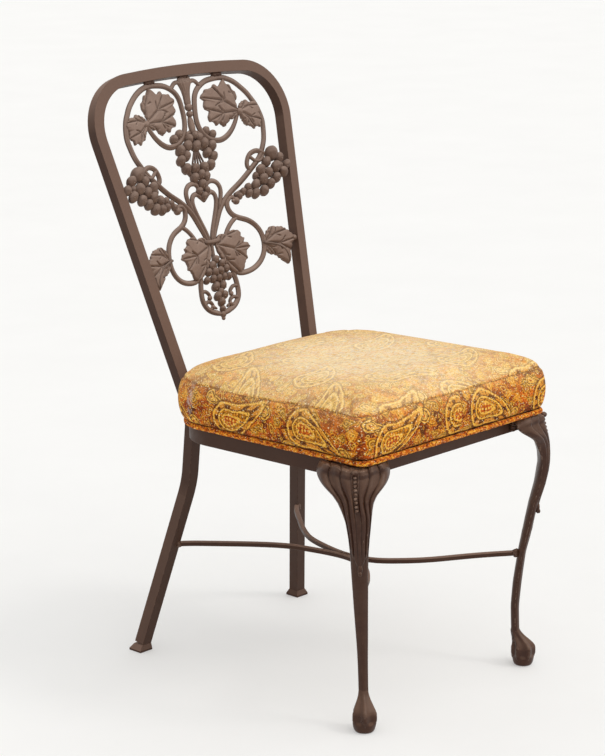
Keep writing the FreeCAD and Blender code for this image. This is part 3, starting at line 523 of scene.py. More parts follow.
    # ground: dark rust and orange with flowers, dots and leaf sprigs
    patch = g.noise(uv, 30.0, 4.0, 0.65)
    ground = g.ramp(patch, [(0.39, DARK), (0.49, RUST), (0.60, ORANGE), (0.73, GOLD)])
    f0, c0 = small_drop(uv, 44.0, 0.95, 0.34)
    ground = g.mix(g.math("MULTIPLY", inside(f0, 1.0, 0.05), 0.9), ground, g.mix(g.remap(c0, 0.42, 0.5), OLIVE, g.mix(g.remap(c0, 0.7, 0.75), RUST, GOLD)))
    ground = g.mix(line(f0, 1.0, 0.15), ground, GOLD)
    ground = g.mix(g.math("MULTIPLY", line(f0, 0.45, 0.13), 0.8), ground, CREAM)
    fl = cells(uv, 135.0, 0.9)
    fd = fl.outputs["Distance"]
    fc = g.node("ShaderNodeSeparateColor")
    g.put(fc.inputs[0], fl.outputs["Color"])
    on = g.remap(fc.outputs[0], 0.48, 0.52)
    ground = g.mix(g.math("MULTIPLY", g.math("MULTIPLY", on, inside(fd, 0.34, 0.06)), 0.85), ground, g.mix(fc.outputs[1], GOLD, CREAM))
    ground = g.mix(g.math("MULTIPLY", on, inside(fd, 0.15, 0.05)), ground, DARK)
    # dots used inside the big drops
    sp = cells(uv, 150.0, 0.35)
    sd = sp.outputs["Distance"]
    mott = g.noise(uv, 210.0, 2.0, 0.6)

    def fill_drop(c, f, t, lo, hi, lines, beads):
        body = g.mix(g.remap(mott, 0.42, 0.58), lo, hi)
        body = g.mix(g.math("MULTIPLY", inside(sd, 0.24, 0.06), 0.8), body, DARK)
        inner = g.mix(g.remap(mott, 0.40, 0.60), RUST, ORANGE)
        inner = g.mix(inside(sd, 0.30, 0.07), inner, CREAM)
        band = g.mix(g.remap(mott, 0.3, 0.7), GOLD, TAN)
        bead = g.math("MULTIPLY", g.remap(g.math("SINE", g.math("MULTIPLY", t, beads)), 0.15, 0.45), line(f, 0.80, 0.16))
        band = g.mix(bead, band, DARK)
        big = g.mix(inside(f, 0.62, 0.02), band, body)
        big = g.mix(inside(f, 0.33, 0.02), big, inner)
        big = g.mix(line(f, 0.62, lines), big, CREAM)
        big = g.mix(g.math("MULTIPLY", line(f, 0.70, lines * 0.8), 0.8), big, DARK)
        big = g.mix(g.math("MULTIPLY", line(f, 0.33, lines), 0.9), big, CREAM)
        c = g.mix(inside(f, 1.02, 0.02), c, big)
        c = g.mix(line(f, 1.01, lines * 1.05), c, CREAM)
        return g.mix(g.math("MULTIPLY", line(f, 1.15, lines * 0.9), 0.85), c, DARK)

    fu, fv, par = lattice(uv, 0.13, 0.0)
    f2, t2 = paisley(fu, fv, par, 0.052, 0.020, 0.0105, 0.030, -14.0, 2.6)
    c = fill_drop(ground, f2, t2, OLIVE, GOLD, 0.13, 6.0)
    f3, t3 = paisley(fu, fv, par, -0.066, 0.027, 0.0085, 0.026, 12.0, -0.5)
    c = fill_drop(c, f3, t3, RUST, ORANGE, 0.15, 5.0)
    f1, t1 = paisley(fu, fv, par, -0.028, -0.006, 0.0285, 0.078, 4.6, 0.10)
    c = fill_drop(c, f1, t1, OLIVE, GOLD, 0.060, 9.0)
    if welt:
        c = g.ramp(g.noise(uv0, 135.0, 3.0, 0.7), [(0.34, DARK), (0.43, RUST), (0.49, ORANGE), (0.55, GOLD), (0.63, CREAM)])
    # yarn: slubs and flecks of light and dark
    mp = g.node("ShaderNodeMapping")
    mp.inputs["Scale"].default_value = (1.0, 2.2, 1.0)
    g.put(mp.inputs[0], uv0)
    slub = g.noise(mp.outputs[0], 330.0, 3.0, 0.75)
    fleck = g.noise(uv0, 330.0, 2.0, 0.6)
    c = g.mix(g.remap(slub, 0.30, 0.49, 0.85, 0.0), c, (0.060, 0.010, 0.002))
    c = g.mix(g.remap(slub, 0.53, 0.70, 0.0, 0.80), c, (0.88, 0.41, 0.058))
    c = g.mix(g.remap(fleck, 0.615, 0.685, 0.0, 0.95), c, (1.0, 0.86, 0.50))
    fleck2 = g.noise(uv0, 285.0, 2.0, 0.55)
    c = g.mix(g.remap(fleck2, 0.34, 0.44, 0.90, 0.0), c, (0.075, 0.009, 0.002))
    sep = g.node("ShaderNodeSeparateXYZ")
    g.put(sep.inputs[0], geo.outputs["Normal"])
    if not welt:
        # painted light: where the top faces up it is lightened towards pale yarn colours, most in the middle, a painted
        # pool of light and highlight
        rad = g.vec("LENGTH", g.vec("MULTIPLY", g.vec("SUBTRACT", co, (0.0, -0.10, 0.0)), (1.0, 1.0, 0.0)))
        top_light_pool = g.math("MULTIPLY", g.remap(sep.outputs[2], 0.36, 0.95, smooth=True), g.remap(rad, 0.07, 0.25, 0.62, 0.10, smooth=True))
        top_light_pool = g.math("MULTIPLY", top_light_pool, g.remap(g.noise(uv0, 24.0, 4.0, 0.65), 0.25, 0.75, 0.74, 1.2))
        uvs = g.node("ShaderNodeSeparateXYZ")
        g.put(uvs.inputs[0], uv0)
        top_light_pool = g.math("MULTIPLY", top_light_pool, g.remap(slub, 0.3, 0.7, 0.80, 1.12), clamp=True)
        top_light_pool = g.math("MULTIPLY", top_light_pool, g.remap(uvs.outputs[1], 0.2, 0.3, 0.42, 1.0))
        mt = g.node("ShaderNodeMapping")
        mt.inputs["Scale"].default_value = (1.0, 1.9, 1.0)
        mt.inputs["Rotation"].default_value = (0.0, 0.0, 0.35)
        g.put(mt.inputs[0], uv0)
        top_light_yarn = g.noise(mt.outputs[0], 125.0, 4.0, 0.72)
        lit_gold_yarn = g.noise(mt.outputs[0], 175.0, 3.0, 0.7)
        # painted light: the top and the upper band of the side just under the seam are lightened and warmed where light
        # falls from above
        upper_light_lift = g.math("MULTIPLY", g.remap(sep.outputs[2], 0.20, 0.80, smooth=True), g.remap(uvs.outputs[1], 0.2, 0.3, 0.35, 1.0))
        upper_light_lift = g.math("MAXIMUM", upper_light_lift, g.math("MULTIPLY", g.remap(uvs.outputs[1], 0.052, 0.084, 0.0, 0.42), g.remap(uvs.outputs[1], 0.2, 0.3, 1.0, 0.8)))
        light_lift_gamma = g.node("ShaderNodeGamma")
        g.put(light_lift_gamma.inputs["Color"], c)
        light_lift_gamma.inputs["Gamma"].default_value = 0.46
        c = g.mix(g.math("MULTIPLY", upper_light_lift, 0.88), c, light_lift_gamma.outputs[0])
        c = g.mix(g.math("MULTIPLY", upper_light_lift, 0.22), c, g.ramp(lit_gold_yarn, [(0.36, (0.70, 0.26, 0.03)), (0.48, (0.92, 0.52, 0.12)), (0.58, (0.98, 0.70, 0.27)), (0.68, (1.0, 0.90, 0.62))]))
        c = g.mix(top_light_pool, c, g.ramp(top_light_yarn, [(0.34, (0.86, 0.50, 0.16)), (0.45, (0.98, 0.78, 0.46)), (0.53, (1.0, 0.90, 0.68)), (0.62, (1.0, 0.98, 0.90))]))
        # shadow line where the side is sewn to the piping
        c = g.mix(g.remap(uvs.outputs[1], 0.0165, 0.0225, 0.85, 0.0), c, (0.030, 0.008, 0.003))
        # pale greyish patch near the rear corner on the sitter's right
        d2 = g.vec("LENGTH", g.vec("MULTIPLY", g.vec("SUBTRACT", co, (-0.215, 0.058, 0.468)), (1.0, 3.4, 1.0)))
        pale_patch = g.math("MULTIPLY", g.remap(d2, 0.014, 0.034, 1.0, 0.0), g.remap(g.noise(co, 170.0, 4.0, 0.7), 0.42, 0.6))
        c = g.mix(g.math("MULTIPLY", pale_patch, 0.7), c, (0.66, 0.56, 0.50))
    g.put(bs.inputs["Base Color"], c)
    bs.inputs["Roughness"].default_value = 0.86
    bs.inputs["Specular IOR Level"].default_value = 0.12
    bs.inputs["Sheen Weight"].default_value = 0.05
    bs.inputs["Sheen Roughness"].default_value = 0.45
    bs.inputs["Sheen Tint"].default_value = (1.0, 0.80, 0.50, 1.0)
    h = g.math("ADD", g.math("MULTIPLY", fleck, 0.7), g.math("MULTIPLY", slub, 1.2))
    b = g.node("ShaderNodeBump")
    b.inputs["Strength"].default_value = 0.6
    b.inputs["Distance"].default_value = 0.0012
    g.put(b.inputs["Height"], h)
    g.put(bs.inputs["Normal"], b.outputs[0])
    g.put(out.inputs[0], bs.outputs[0])
    return m


def thread_material(name, lo=(0.045, 0.016, 0.008), hi=(0.17, 0.065, 0.025), size=700.0):
    m, nt = new_material(name)
    g = G(nt)
    out = g.node("ShaderNodeOutputMaterial")
    bs = g.node("ShaderNodeBsdfPrincipled")
    co = g.node("ShaderNodeTexCoord").outputs["Object"]
    n1 = g.noise(co, size, 3.0, 0.6)
    g.put(bs.inputs["Base Color"], g.ramp(n1, [(0.35, lo), (0.7, hi)]))
    bs.inputs["Roughness"].default_value = 0.9
    b = g.node("ShaderNodeBump")
    b.inputs["Strength"].default_value = 0.5
    b.inputs["Distance"].default_value = 0.0005
    g.put(b.inputs["Height"], n1)
    g.put(bs.inputs["Normal"], b.outputs[0])
    g.put(out.inputs[0], bs.outputs[0])
    return m


M_FRAME = paint_material("frame_paint", bevel=0.0016, dust_and_sheen_amount=0.98, wear=0.55, gloss=0.20, dust_and_sheen_colour=(0.272, 0.176, 0.136))
M_CAST = paint_material("cast_paint", base=(0.150, 0.093, 0.069), warm=(0.115, 0.065, 0.046), pale=(0.235, 0.165, 0.130), cast=0.35, wear=0.5, dust_and_sheen_amount=0.75,
                        dust_and_sheen_colour=(0.38, 0.275, 0.225), gloss=0.26)
M_LEG = paint_material("leg_paint", base=(0.040, 0.0125, 0.0045), warm=(0.036, 0.0095, 0.0032), pale=(0.082, 0.038, 0.021), cast=0.5, wear=0.9, rough=0.33, dust_and_sheen_amount=0.42, ridge=(0.508, 0.570), hollow_shade_at=(0.430, 0.500),
                       dust_and_sheen_colour=(0.27, 0.165, 0.112), gloss=0.27)
M_WOOD = wood_material("bare_plywood")
M_ZINC = zinc_material("zinc")
M_CLOTH = fabric_material("paisley_cloth")
M_WELT = fabric_material("paisley_welt", welt=True)
# the lip's near-black colours are painted shade for the gap above the piping
M_LIP_SHADE = thread_material("lip_painted_shade")
M_SEAM = thread_material("seam_thread", (0.10, 0.030, 0.012), (0.74, 0.40, 0.12), 260.0)


def dress(ob, mat):
    ob.data.materials.clear()
    ob.data.materials.append(mat)
    return ob


def place(ob, mat, slot, *nodes):
    dress(ob, mat)
    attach(ob, "root")
    if nodes:
        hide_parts(*nodes)
    return ob


def both(shell, stem, mat, slot, node):
    """a piece for the chair's left side (+X) and its mirror image"""
    place(shell.make(stem + "_left"), mat, slot, node + "_left")
    place(shell.mirrored().make(stem + "_right"), mat, slot, node + "_right")


# ------------------------------------------------------------------ grapevine panel
MAIN = [(7.5, 267), (11.5, 282), (19, 297), (30, 317), (42.5, 332), (59, 345), (79.5, 357), (100, 371), (117, 384), (131, 396), (141, 410), (147, 420),
        (151, 430), (154, 442), (156, 455), (154, 470), (148.5, 486), (143, 495), (135.5, 506), (123.5, 518), (115, 525), (105, 531),
        (92, 536), (77, 538), (60, 537), (48, 535), (36, 530), (24, 521), (17.5, 510), (15.2, 500), (13.8, 490), (13.2, 480), (13.8, 470),
        (16.5, 460), (22.5, 450), (33.5, 440), (43, 436.5), (55, 434.5), (68, 437), (80.5, 444), (92, 455), (100, 466), (106, 475)]
CURL = [(139, 400), (128, 406), (119, 406), (110, 402), (103.5, 393), (102, 384), (105.5, 377)]
CURL2 = [(106, 401), (112, 396), (118, 391), (126, 389), (133, 392), (137, 397)]
HEART = [(3.5, 267), (6, 281), (10, 292), (18, 310), (25, 327), (27.5, 338), (26, 347), (20, 352), (12, 351), (5, 345), (0.5, 340)]
TOPCURL = [(30, 322), (35, 334), (39, 346), (39.5, 357), (34, 366), (25, 370), (15, 369), (9, 363), (9.5, 357), (14, 355.5)]
LOWER = [(66, 330), (63, 337), (56.5, 337.5), (50.5, 333), (48.5, 325), (51, 316), (57, 308.5), (68, 302), (84, 295.5), (98, 285), (107, 271), (110, 256),
         (108.5, 241), (102, 228), (91, 218), (77, 212), (62, 210), (48, 212), (36, 219)]
BRANCH = [(64, 304), (53, 297), (44, 289), (37, 280), (33, 272)]


def path(pts, off=0.0, step=1.5):
    q = spline(pts, step)
    return med(q[:, 0], q[:, 1], off)


def taper(n, a=1.0, b=1.0, la=0.08, lb=0.08):
    t = np.linspace(0, 1, n)
    s = np.ones(n)
    s = np.where(t < la, a + (1 - a) * t / la, s)
    return np.where(t > 1 - lb, b + (1 - b) * (1 - t) / lb, s)


def scroll_shell(items):
    s = Shells()
    for pts, r, inner, off, ta, tb in items:
        p = path(pts, off)
        prof = bead_bar(r, inner) if inner else circle(r)
        sweep(s, p, FRONT, prof, taper(len(p), ta, tb))
    return s


both(scroll_shell([(MAIN, 4.7, 1.0, 0.0, 0.8, 0.75)]), "main_scroll_bar", M_CAST, "medallion_casting", "main_scroll")
both(scroll_shell([(CURL, 4.2, -1.0, 1.2, 0.9, 0.7), (CURL2, 3.0, 0, 1.5, 0.8, 0.8)]), "vine_curl_bar", M_CAST, "medallion_casting", "vine_curl")
both(scroll_shell([(HEART, 4.2, 1.0, 0.0, 0.8, 0.7)]), "heart_scroll_bar", M_CAST, "medallion_casting", "heart_scroll")
both(scroll_shell([(TOPCURL, 4.1, 1.0, 0.6, 0.6, 0.6)]), "heart_curl_bar", M_CAST, "medallion_casting", "heart_curl")
low = scroll_shell([(LOWER, 4.6, 1.0, 0.0, 0.7, 0.7), (BRANCH, 3.9, 1.0, 0.0, 0.9, 0.7)])
lump(low, med(68.5, 330.0, 0.5), (6.6, 6.2, 6.6), seed=3)
lump(low, med(61.5, 331.0, 2.0), (3.4, 3.4, 3.4), seed=4)
both(low, "lower_scroll_bar", M_CAST, "medallion_casting", "lower_scroll")

LOOP = [(37, 214), (40.5, 202), (42, 190), (41.5, 177), (36, 166), (27, 158.5), (16, 154), (6, 151)]
loop = Shells()
for sx in (1, -1):
    p = path([(sx * a, b) for a, b in LOOP])
    sweep(loop, p, FRONT, bead_bar(4.7, 1.0 * sx), taper(len(p), 0.8, 0.85))
    for pts, r in (([(40, 191), (34, 192), (28, 189), (24, 183), (27, 179)], 3.3), ([(39, 171), (31, 174), (25, 173), (20, 167), (22, 162)], 3.3), ([(28, 160), (20, 163), (13, 161)], 2.8)):
        p = path([(sx * a, b) for a, b in pts])
        sweep(loop, p, FRONT, circle(r), taper(len(p), 1.0, 0.75, 0.1, 0.4))
    lump(loop, med(sx * 25, 180, 1.0), (4.4, 3.8, 4.2), seed=6)
    lump(loop, med(sx * 20.5, 164, 1.0), (4.2, 3.6, 4.0), seed=7)
lump(loop, med(0, 149, 0.5), (5.6, 4.6, 6.2), seed=8)
lump(loop, med(0, 142.5, 0.0), (3.4, 3.2, 3.6), seed=9)
place(loop.make("bottom_loop_bar"), M_CAST, "medallion_casting", "bottom_loop")

# tie: a small forged band with rounded edges across the stems
tie = Shells()
a = np.linspace(-14.0, 14.0, 25)
sweep(tie, med(a, 270.5 + 0.004 * a ** 2, 1.2), FRONT, np.array([(3.6 * np.sign(math.cos(t)) * abs(math.cos(t)) ** 0.6, 6.2 * np.sign(math.sin(t)) * abs(math.sin(t)) ** 0.6)
                                                                  for t in np.linspace(0, 2 * math.pi, 24, endpoint=False)]))
lump(tie, med(-12.5, 270.5, 4.4), (3.4, 2.4, 4.0), seed=10)
lump(tie, med(12.5, 270.5, 4.4), (3.4, 2.4, 4.0), seed=11)
place(tie.make("tie_band_bar"), M_CAST, "medallion_casting", "tie_band")

# finial: leafy trumpet over two beads and a long drop
fin = Shells()
FW = [(546, 12.4, 5.0), (541, 16.2, 5.8), (536, 15.6, 6.0), (530, 11.8, 5.6), (523, 9.0, 5.0), (515, 7.4, 4.6), (508, 6.8, 4.4), (503, 6.9, 4.2), (500, 5.4, 4.0)]
rows, m = [], 48
ws = np.linspace(546, 500, 40)
hw = np.interp(ws, [q[0] for q in FW][::-1], [q[1] for q in FW][::-1])
dp = np.interp(ws, [q[0] for q in FW][::-1], [q[2] for q in FW][::-1])
for w_, h_, d_ in zip(ws, hw, dp):
    t = np.linspace(0, 2 * math.pi, m, endpoint=False)
    k = 1 + 0.13 * np.cos(7 * (np.arcsin(np.clip(np.cos(t), -1, 1)) / math.pi * 2) * math.pi) * (np.sin(t) > 0)
    rows.append(med(h_ * np.cos(t) * (1 + 0.02 * np.cos(9 * t)), w_ - 4.0 * (1 - np.abs(np.cos(t))) * (w_ > 538), d_ * k * np.sin(t)))
v = np.concatenate(rows)
f = [(i * m + k, i * m + (k + 1) % m, (i + 1) * m + (k + 1) % m, (i + 1) * m + k) for i in range(len(rows) - 1) for k in range(m)]
f.append(tuple(range(m))[::-1])
f.append(tuple((len(rows) - 1) * m + k for k in range(m)))
fin.add(v, f)
AX = np.array([[1, 0, 0], FRONT, [0, EY, EZ]])
for w_, rr, sd in ((495.5, (7.4, 6.2, 6.6), 1), (484.5, (6.3, 5.4, 5.6), 2)):
    lump(fin, med(0, w_, 1.0), rr, AX, 0.04, seed=sd)
lump(fin, med(0, 465, 0.5), (6.4, 5.0, 17.0), AX, 0.05, seed=5)
for sx in (1, -1):
    p = path([(sx * a, b) for a, b in [(3, 524), (8, 533), (15, 538), (24, 537), (31, 531), (36, 529)]], 0.5)
    sweep(fin, p, FRONT, bead_bar(3.6, -1.0 * sx), taper(len(p), 0.9, 0.8))
place(fin.make("finial_cast"), M_CAST, "medallion_casting", "finial")


def berries(shell, items, seed, full=1.03):
    r_ = np.random.default_rng(seed)
    for i, (x, w, r, o) in enumerate(items):
        j = r_.uniform(-0.5, 0.5, 3)
        c = med(x + j[0], w + j[1], o + j[2])
        turn = r_.uniform(-0.5, 0.5)
        ax = np.array([[math.cos(turn), 0, math.sin(turn)], FRONT, [-math.sin(turn), 0, math.cos(turn)]])
        lump(shell, c, (r * full * 0.96, r * 0.96, r * full * r_.uniform(1.02, 1.12)), ax, 0.07, 1.5, 3, seed + i)
        # small navel on the berry
        d = unit(FRONT + np.array([r_.uniform(-0.5, 0.5), 0, -0.5 + r_.uniform(-0.3, 0.3)]))
        lump(shell, c + d * r * 0.93, (1.1, 1.1, 1.1), None, 0.1, 2.0, 1, i)


cen = Shells()
CB = [(12, 443, 8.8, 0), (-12, 443, 8.8, 0), (0, 430, 9.4, 3), (19, 433, 9.4, 2), (-19, 433, 9.4, 2), (36.5, 427, 9.2, 1), (-36.5, 427, 9.2, 1),
      (37, 410, 8.8, 0), (-37, 410, 8.8, 0), (24, 417, 8.4, 1), (-24, 417, 8.4, 1), (28, 396, 9.0, 0), (-28, 396, 9.0, 0), (10.5, 394, 9.0, 2), (-10.5, 394, 9.0, 2),
      (13, 379, 8.6, 1), (-13, 379, 8.6, 1), (0, 383, 8.2, 3), (0, 367, 9.0, 2), (-8.5, 356, 6.6, 2), (8.5, 356, 6.6, 2), (0, 347, 7.4, 2), (31, 453, 7.6, -1), (-31, 453, 7.6, -1),
      (44, 446, 7.8, -1), (-44, 446, 7.8, -1), (0, 448, 6.0, 3)]
berries(cen, CB, 20)
for x_ in (-11, -5.5, 0, 5.5, 11):
    p = path([(x_ * 0.3, 425), (x_ * 0.8, 412), (x_ * 1.25, 400)], 1.0)
    sweep(cen, p, FRONT, circle(1.7, 10))
for sx in (1, -1):
    p = path([(sx * 4, 455), (sx * 16, 452), (sx * 33, 452), (sx * 46, 445)], -2.0)
    sweep(cen, p, FRONT, circle(3.6))
    p = path([(sx * 3, 440), (sx * 20, 425), (sx * 34, 417), (sx * 33, 402), (sx * 18, 386), (sx * 4, 366)], -3.0)
    sweep(cen, p, FRONT, circle(4.2))
place(cen.make("center_grapes_cast"), M_CAST, "medallion_casting", "center_grapes")

sid = Shells()
SB = [(155, 398, 11.8, 3), (170, 388.5, 8.8, 2), (184, 375, 7.6, 2), (174, 364, 8.4, 2), (158, 374, 9.4, 4), (141, 385, 8.6, 1), (125, 373, 8.8, 3),
      (141, 366.5, 8.2, 3), (156, 356, 8.6, 2), (128, 357, 8.8, 3), (142, 347, 8.2, 2), (112, 350, 8.2, 2), (126, 338, 8.6, 2), (109, 336, 8.0, 2),
      (95, 349, 6.6, 2), (96, 338.5, 7.0, 2), (83.5, 343, 6.0, 2), (76, 336, 5.4, 2), (170, 375, 6.2, 0), (117, 365, 6.0, -1)]
berries(sid, SB, 60, 1.10)
for pts, r in (([(72, 340), (94, 345), (112, 346), (132, 357), (165, 376), (190, 372)], 4.4), ([(95, 339), (110, 336), (125, 340), (142, 350), (156, 359), (172, 366)], 3.6),
               ([(152, 396), (141, 381), (126, 367), (112, 350)], 3.6)):
    sweep(sid, path(pts, -2.0), FRONT, circle(r))
for a0 in (-0.9, -0.3, 0.3):
    p = path([(127, 349), (127 + 9 * math.cos(2.2 + a0), 349 + 9 * math.sin(2.2 + a0)), (127 + 17 * math.cos(2.2 + a0), 349 + 15 * math.sin(2.2 + a0))], 6.0)
    sweep(sid, p, FRONT, circle(1.2, 8))
both(sid, "side_grapes_cast", M_CAST, "medallion_casting", "side_grapes")

bot = Shells()
BB = [(0, 240, 7.2, 4), (11.5, 232, 7.2, 4), (-11.5, 232, 7.2, 4), (20, 222, 7.0, 3), (-20, 222, 7.0, 3), (6, 220, 7.4, 5), (-7, 220, 7.4, 5), (13, 210, 6.8, 4), (-13, 210, 6.8, 4),
      (26, 209, 6.4, 2), (-26, 209, 6.4, 2), (0, 209, 6.8, 4), (8, 196, 7.8, 2), (-8, 196, 7.8, 2), (0, 186, 6.4, 3), (7.5, 180, 7.4, 2), (-7.5, 180, 7.4, 2), (0, 169, 7.4, 2), (0, 158, 5.6, 1)]
berries(bot, BB, 90)
sweep(bot, path([(0, 266), (0, 240), (0, 200), (0, 152)], 0.0), FRONT, circle(3.6))
place(bot.make("bottom_grapes_cast"), M_CAST, "medallion_casting", "bottom_grapes")


# ------------------------------------------------------------------ vine leaves
def poly_radius(outline, centre, ang):
    """distance from the centre to the outline along each angle, the farthest crossing"""
    P = np.asarray(outline, float) - np.asarray(centre, float)
    Q = np.roll(P, -1, 0)
    out = np.zeros(len(ang))
    for i, t in enumerate(ang):
        d = np.array([math.cos(t), math.sin(t)])
        e = Q - P
        den = d[0] * e[:, 1] - d[1] * e[:, 0]
        with np.errstate(divide="ignore", invalid="ignore"):
            s = (P[:, 0] * e[:, 1] - P[:, 1] * e[:, 0]) / den
            u = (P[:, 0] * d[1] - P[:, 1] * d[0]) / den
        ok = (np.abs(den) > 1e-9) & (s > 0) & (u >= 0) & (u <= 1)
        out[i] = s[ok].max() if ok.any() else 1.0
    return out


def seg_dist(X, Y, a, b):
    a, b = np.asarray(a, float), np.asarray(b, float)
    d = b - a
    t = np.clip(((X - a[0]) * d[0] + (Y - a[1]) * d[1]) / (d @ d), 0, 1)
    return np.hypot(X - a[0] - t * d[0], Y - a[1] - t * d[1]), t


def leaf_shell(outline, centre, base, tips, off=3.0, thick=3.2, dome=2.6, droop=2.5, seed=0, phase=0.0):
    na, nr = 300, 30
    ang = np.linspace(0, 2 * math.pi, na, endpoint=False)
    R = poly_radius(outline, centre, ang)
    # blunt teeth along the edge
    teeth = 23
    saw = np.abs(((ang * teeth / (2 * math.pi) + phase) % 1.0) - 0.62)
    R = R + 2.5 * (0.5 - saw)
    R = (R + np.roll(R, 1) + np.roll(R, -1)) / 3
    s = np.concatenate([np.linspace(0.04, 0.9, nr - 6), [0.93, 0.955, 0.975, 0.99, 1.0, 1.0]])
    X = centre[0] + s[:, None] * R[None] * np.cos(ang)[None]
    Y = centre[1] + s[:, None] * R[None] * np.sin(ang)[None]
    near = np.full(X.shape, 99.0)
    for k, tp in enumerate(tips):
        tp = np.asarray(tp, float)
        b0 = np.asarray(base, float)
        dv = tp - b0
        nv = np.array([-dv[1], dv[0]])
        bend = 0.08 * (1 if k % 2 else -1)
        mid = b0 + 0.5 * dv + bend * nv
        for p0, p1, w0, w1 in ((b0, mid, 1.0, 0.9), (mid, tp, 0.9, 0.6)):
            d, t = seg_dist(X, Y, p0, p1)
            near = np.minimum(near, d / (w0 + (w1 - w0) * t))
        for q in (0.5,):
            for sg in (1, -1):
                c0 = b0 + q * dv + bend * nv * (1 - abs(2 * q - 1))
                c1 = c0 + 0.26 * (1 - 0.5 * q) * (dv * 0.75 + sg * nv * 0.8)
                d, t = seg_dist(X, Y, c0, c1)
                near = np.minimum(near, d / 0.55 + 0.45)
    Z = off + thick / 2 + dome * (1 - s[:, None] ** 2.0) * 0.55
    Z = Z + 1.9 * (1 - np.exp(-(near / 2.6) ** 2)) - 1.2 * np.exp(-(near / 0.95) ** 2)
    Z = Z - droop * s[:, None] ** 3 * (0.55 + 0.45 * np.sin(3 * ang + seed)[None])
    edge = np.clip((s[:, None] - 0.93) / 0.07, 0, 1)
    Z = Z - edge ** 2 * 1.7
    Z[-1] = Z[-2] - 1.6
    # back skin follows the front at a lesser thickness
    sb = np.array([1.0, 0.94, 0.8, 0.55, 0.3, 0.04])
    Xb = centre[0] + sb[:, None] * R[None] * np.cos(ang)[None]
    Yb = centre[1] + sb[:, None] * R[None] * np.sin(ang)[None]
    Zb = off - thick / 2 + dome * (1 - sb[:, None] ** 2) * 0.3 - droop * sb[:, None] ** 3 * (0.55 + 0.45 * np.sin(3 * ang + seed)[None])
    Zb[0] = np.minimum(Zb[0], Z[-1] - 0.4)
    X, Y, Z = (np.concatenate([p, q]) for p, q in ((X, Xb), (Y, Yb), (Z, Zb)))
    V = med(X, Y, Z).reshape(-1, 3)
    rows_ = X.shape[0]
    F = [(i * na + k, (i + 1) * na + k, (i + 1) * na + (k + 1) % na, i * na + (k + 1) % na) for i in range(rows_ - 1) for k in range(na)]
    V = np.concatenate([V, [V[:na].mean(0)], [V[-na:].mean(0)]])
    F += [(len(V) - 2, k, (k + 1) % na) for k in range(na)]
    F += [(len(V) - 1, (rows_ - 1) * na + (k + 1) % na, (rows_ - 1) * na + k) for k in range(na)]
    sh = Shells()
    sh.add(V, F)
    return sh


UPPER = [(109, 477), (103, 484), (104, 494), (109, 503), (106, 512), (100, 516), (98, 524), (91, 524), (86, 534), (78, 528), (71, 521), (63, 527), (55, 521), (44, 521),
         (36, 514), (29, 508), (38, 502), (33, 495), (36, 487), (44, 484), (38, 476), (40, 466), (48, 467), (54, 459), (62, 463), (70, 455), (78, 459), (84, 466), (92, 466), (100, 471)]
SIDE = [(106, 478), (110, 487), (118, 492), (126, 494), (133, 489), (142, 490), (149, 484), (153, 476), (149, 468), (152, 458), (146, 453), (144, 445), (137, 449), (131, 444),
        (125, 450), (117, 452), (112, 461), (107, 469)]
LOWL = [(8, 268), (14, 277), (24, 281), (33, 277), (43, 283), (55, 282), (63, 277), (60, 271), (69, 267), (66, 261), (75, 258), (80, 251), (72, 247), (68, 241), (69, 232),
        (63, 229), (60, 222), (57, 215), (48, 212), (38, 214), (31, 219), (24, 226), (17, 234), (12, 244), (7, 256)]
OUTL = [(108, 252), (113, 261), (119, 270), (129, 277), (140, 274), (148, 273), (157, 267), (164, 259), (171.5, 253), (172.5, 247), (165, 244), (163, 236), (158, 228), (157, 217), (150, 208),
        (143, 215), (136, 222), (129, 229), (121, 231), (114, 238), (110, 245)]
ul = leaf_shell(UPPER, (70, 492), (108, 477), [(87, 532), (57, 523), (31, 508), (35, 489), (42, 468), (69, 456), (84, 465)], off=3.2, seed=0)
lump(ul, med(108, 476, 3.0), (7.0, 4.6, 6.4), seed=30)
both(ul, "upper_leaf_cast", M_CAST, "medallion_casting", "upper_leaf")
sl = leaf_shell(SIDE, (130, 470), (106, 478), [(122, 492), (149, 483), (150, 458), (132, 446), (116, 453)], off=3.4, seed=2, phase=0.3)
both(sl, "side_leaf_cast", M_CAST, "medallion_casting", "side_leaf")
ll = leaf_shell(LOWL, (42, 248), (10, 264), [(24, 280), (54, 281), (78, 251), (68, 232), (48, 213), (26, 225)], off=4.2, seed=1, phase=0.5)
both(ll, "lower_leaf_cast", M_CAST, "medallion_casting", "lower_leaf")
ol = leaf_shell(OUTL, (140, 248), (109, 252), [(130, 276), (156, 267), (172, 250), (160, 232), (150, 210), (130, 228)], off=0.6, seed=3, phase=0.1)
sweep(ol, path([(108, 252), (116, 250), (128, 246), (142, 238), (150, 226), (152, 213)], 4.6), FRONT, circle(1.9, 10), np.linspace(1.2, 0.5, len(path([(108, 252), (116, 250), (128, 246), (142, 238), (150, 226), (152, 213)], 4.6))))
lump(ol, med(172.0, 250, 1.0), (5.2, 4.6, 4.6), seed=31)
both(ol, "outer_leaf_cast", M_CAST, "medallion_casting", "outer_leaf")

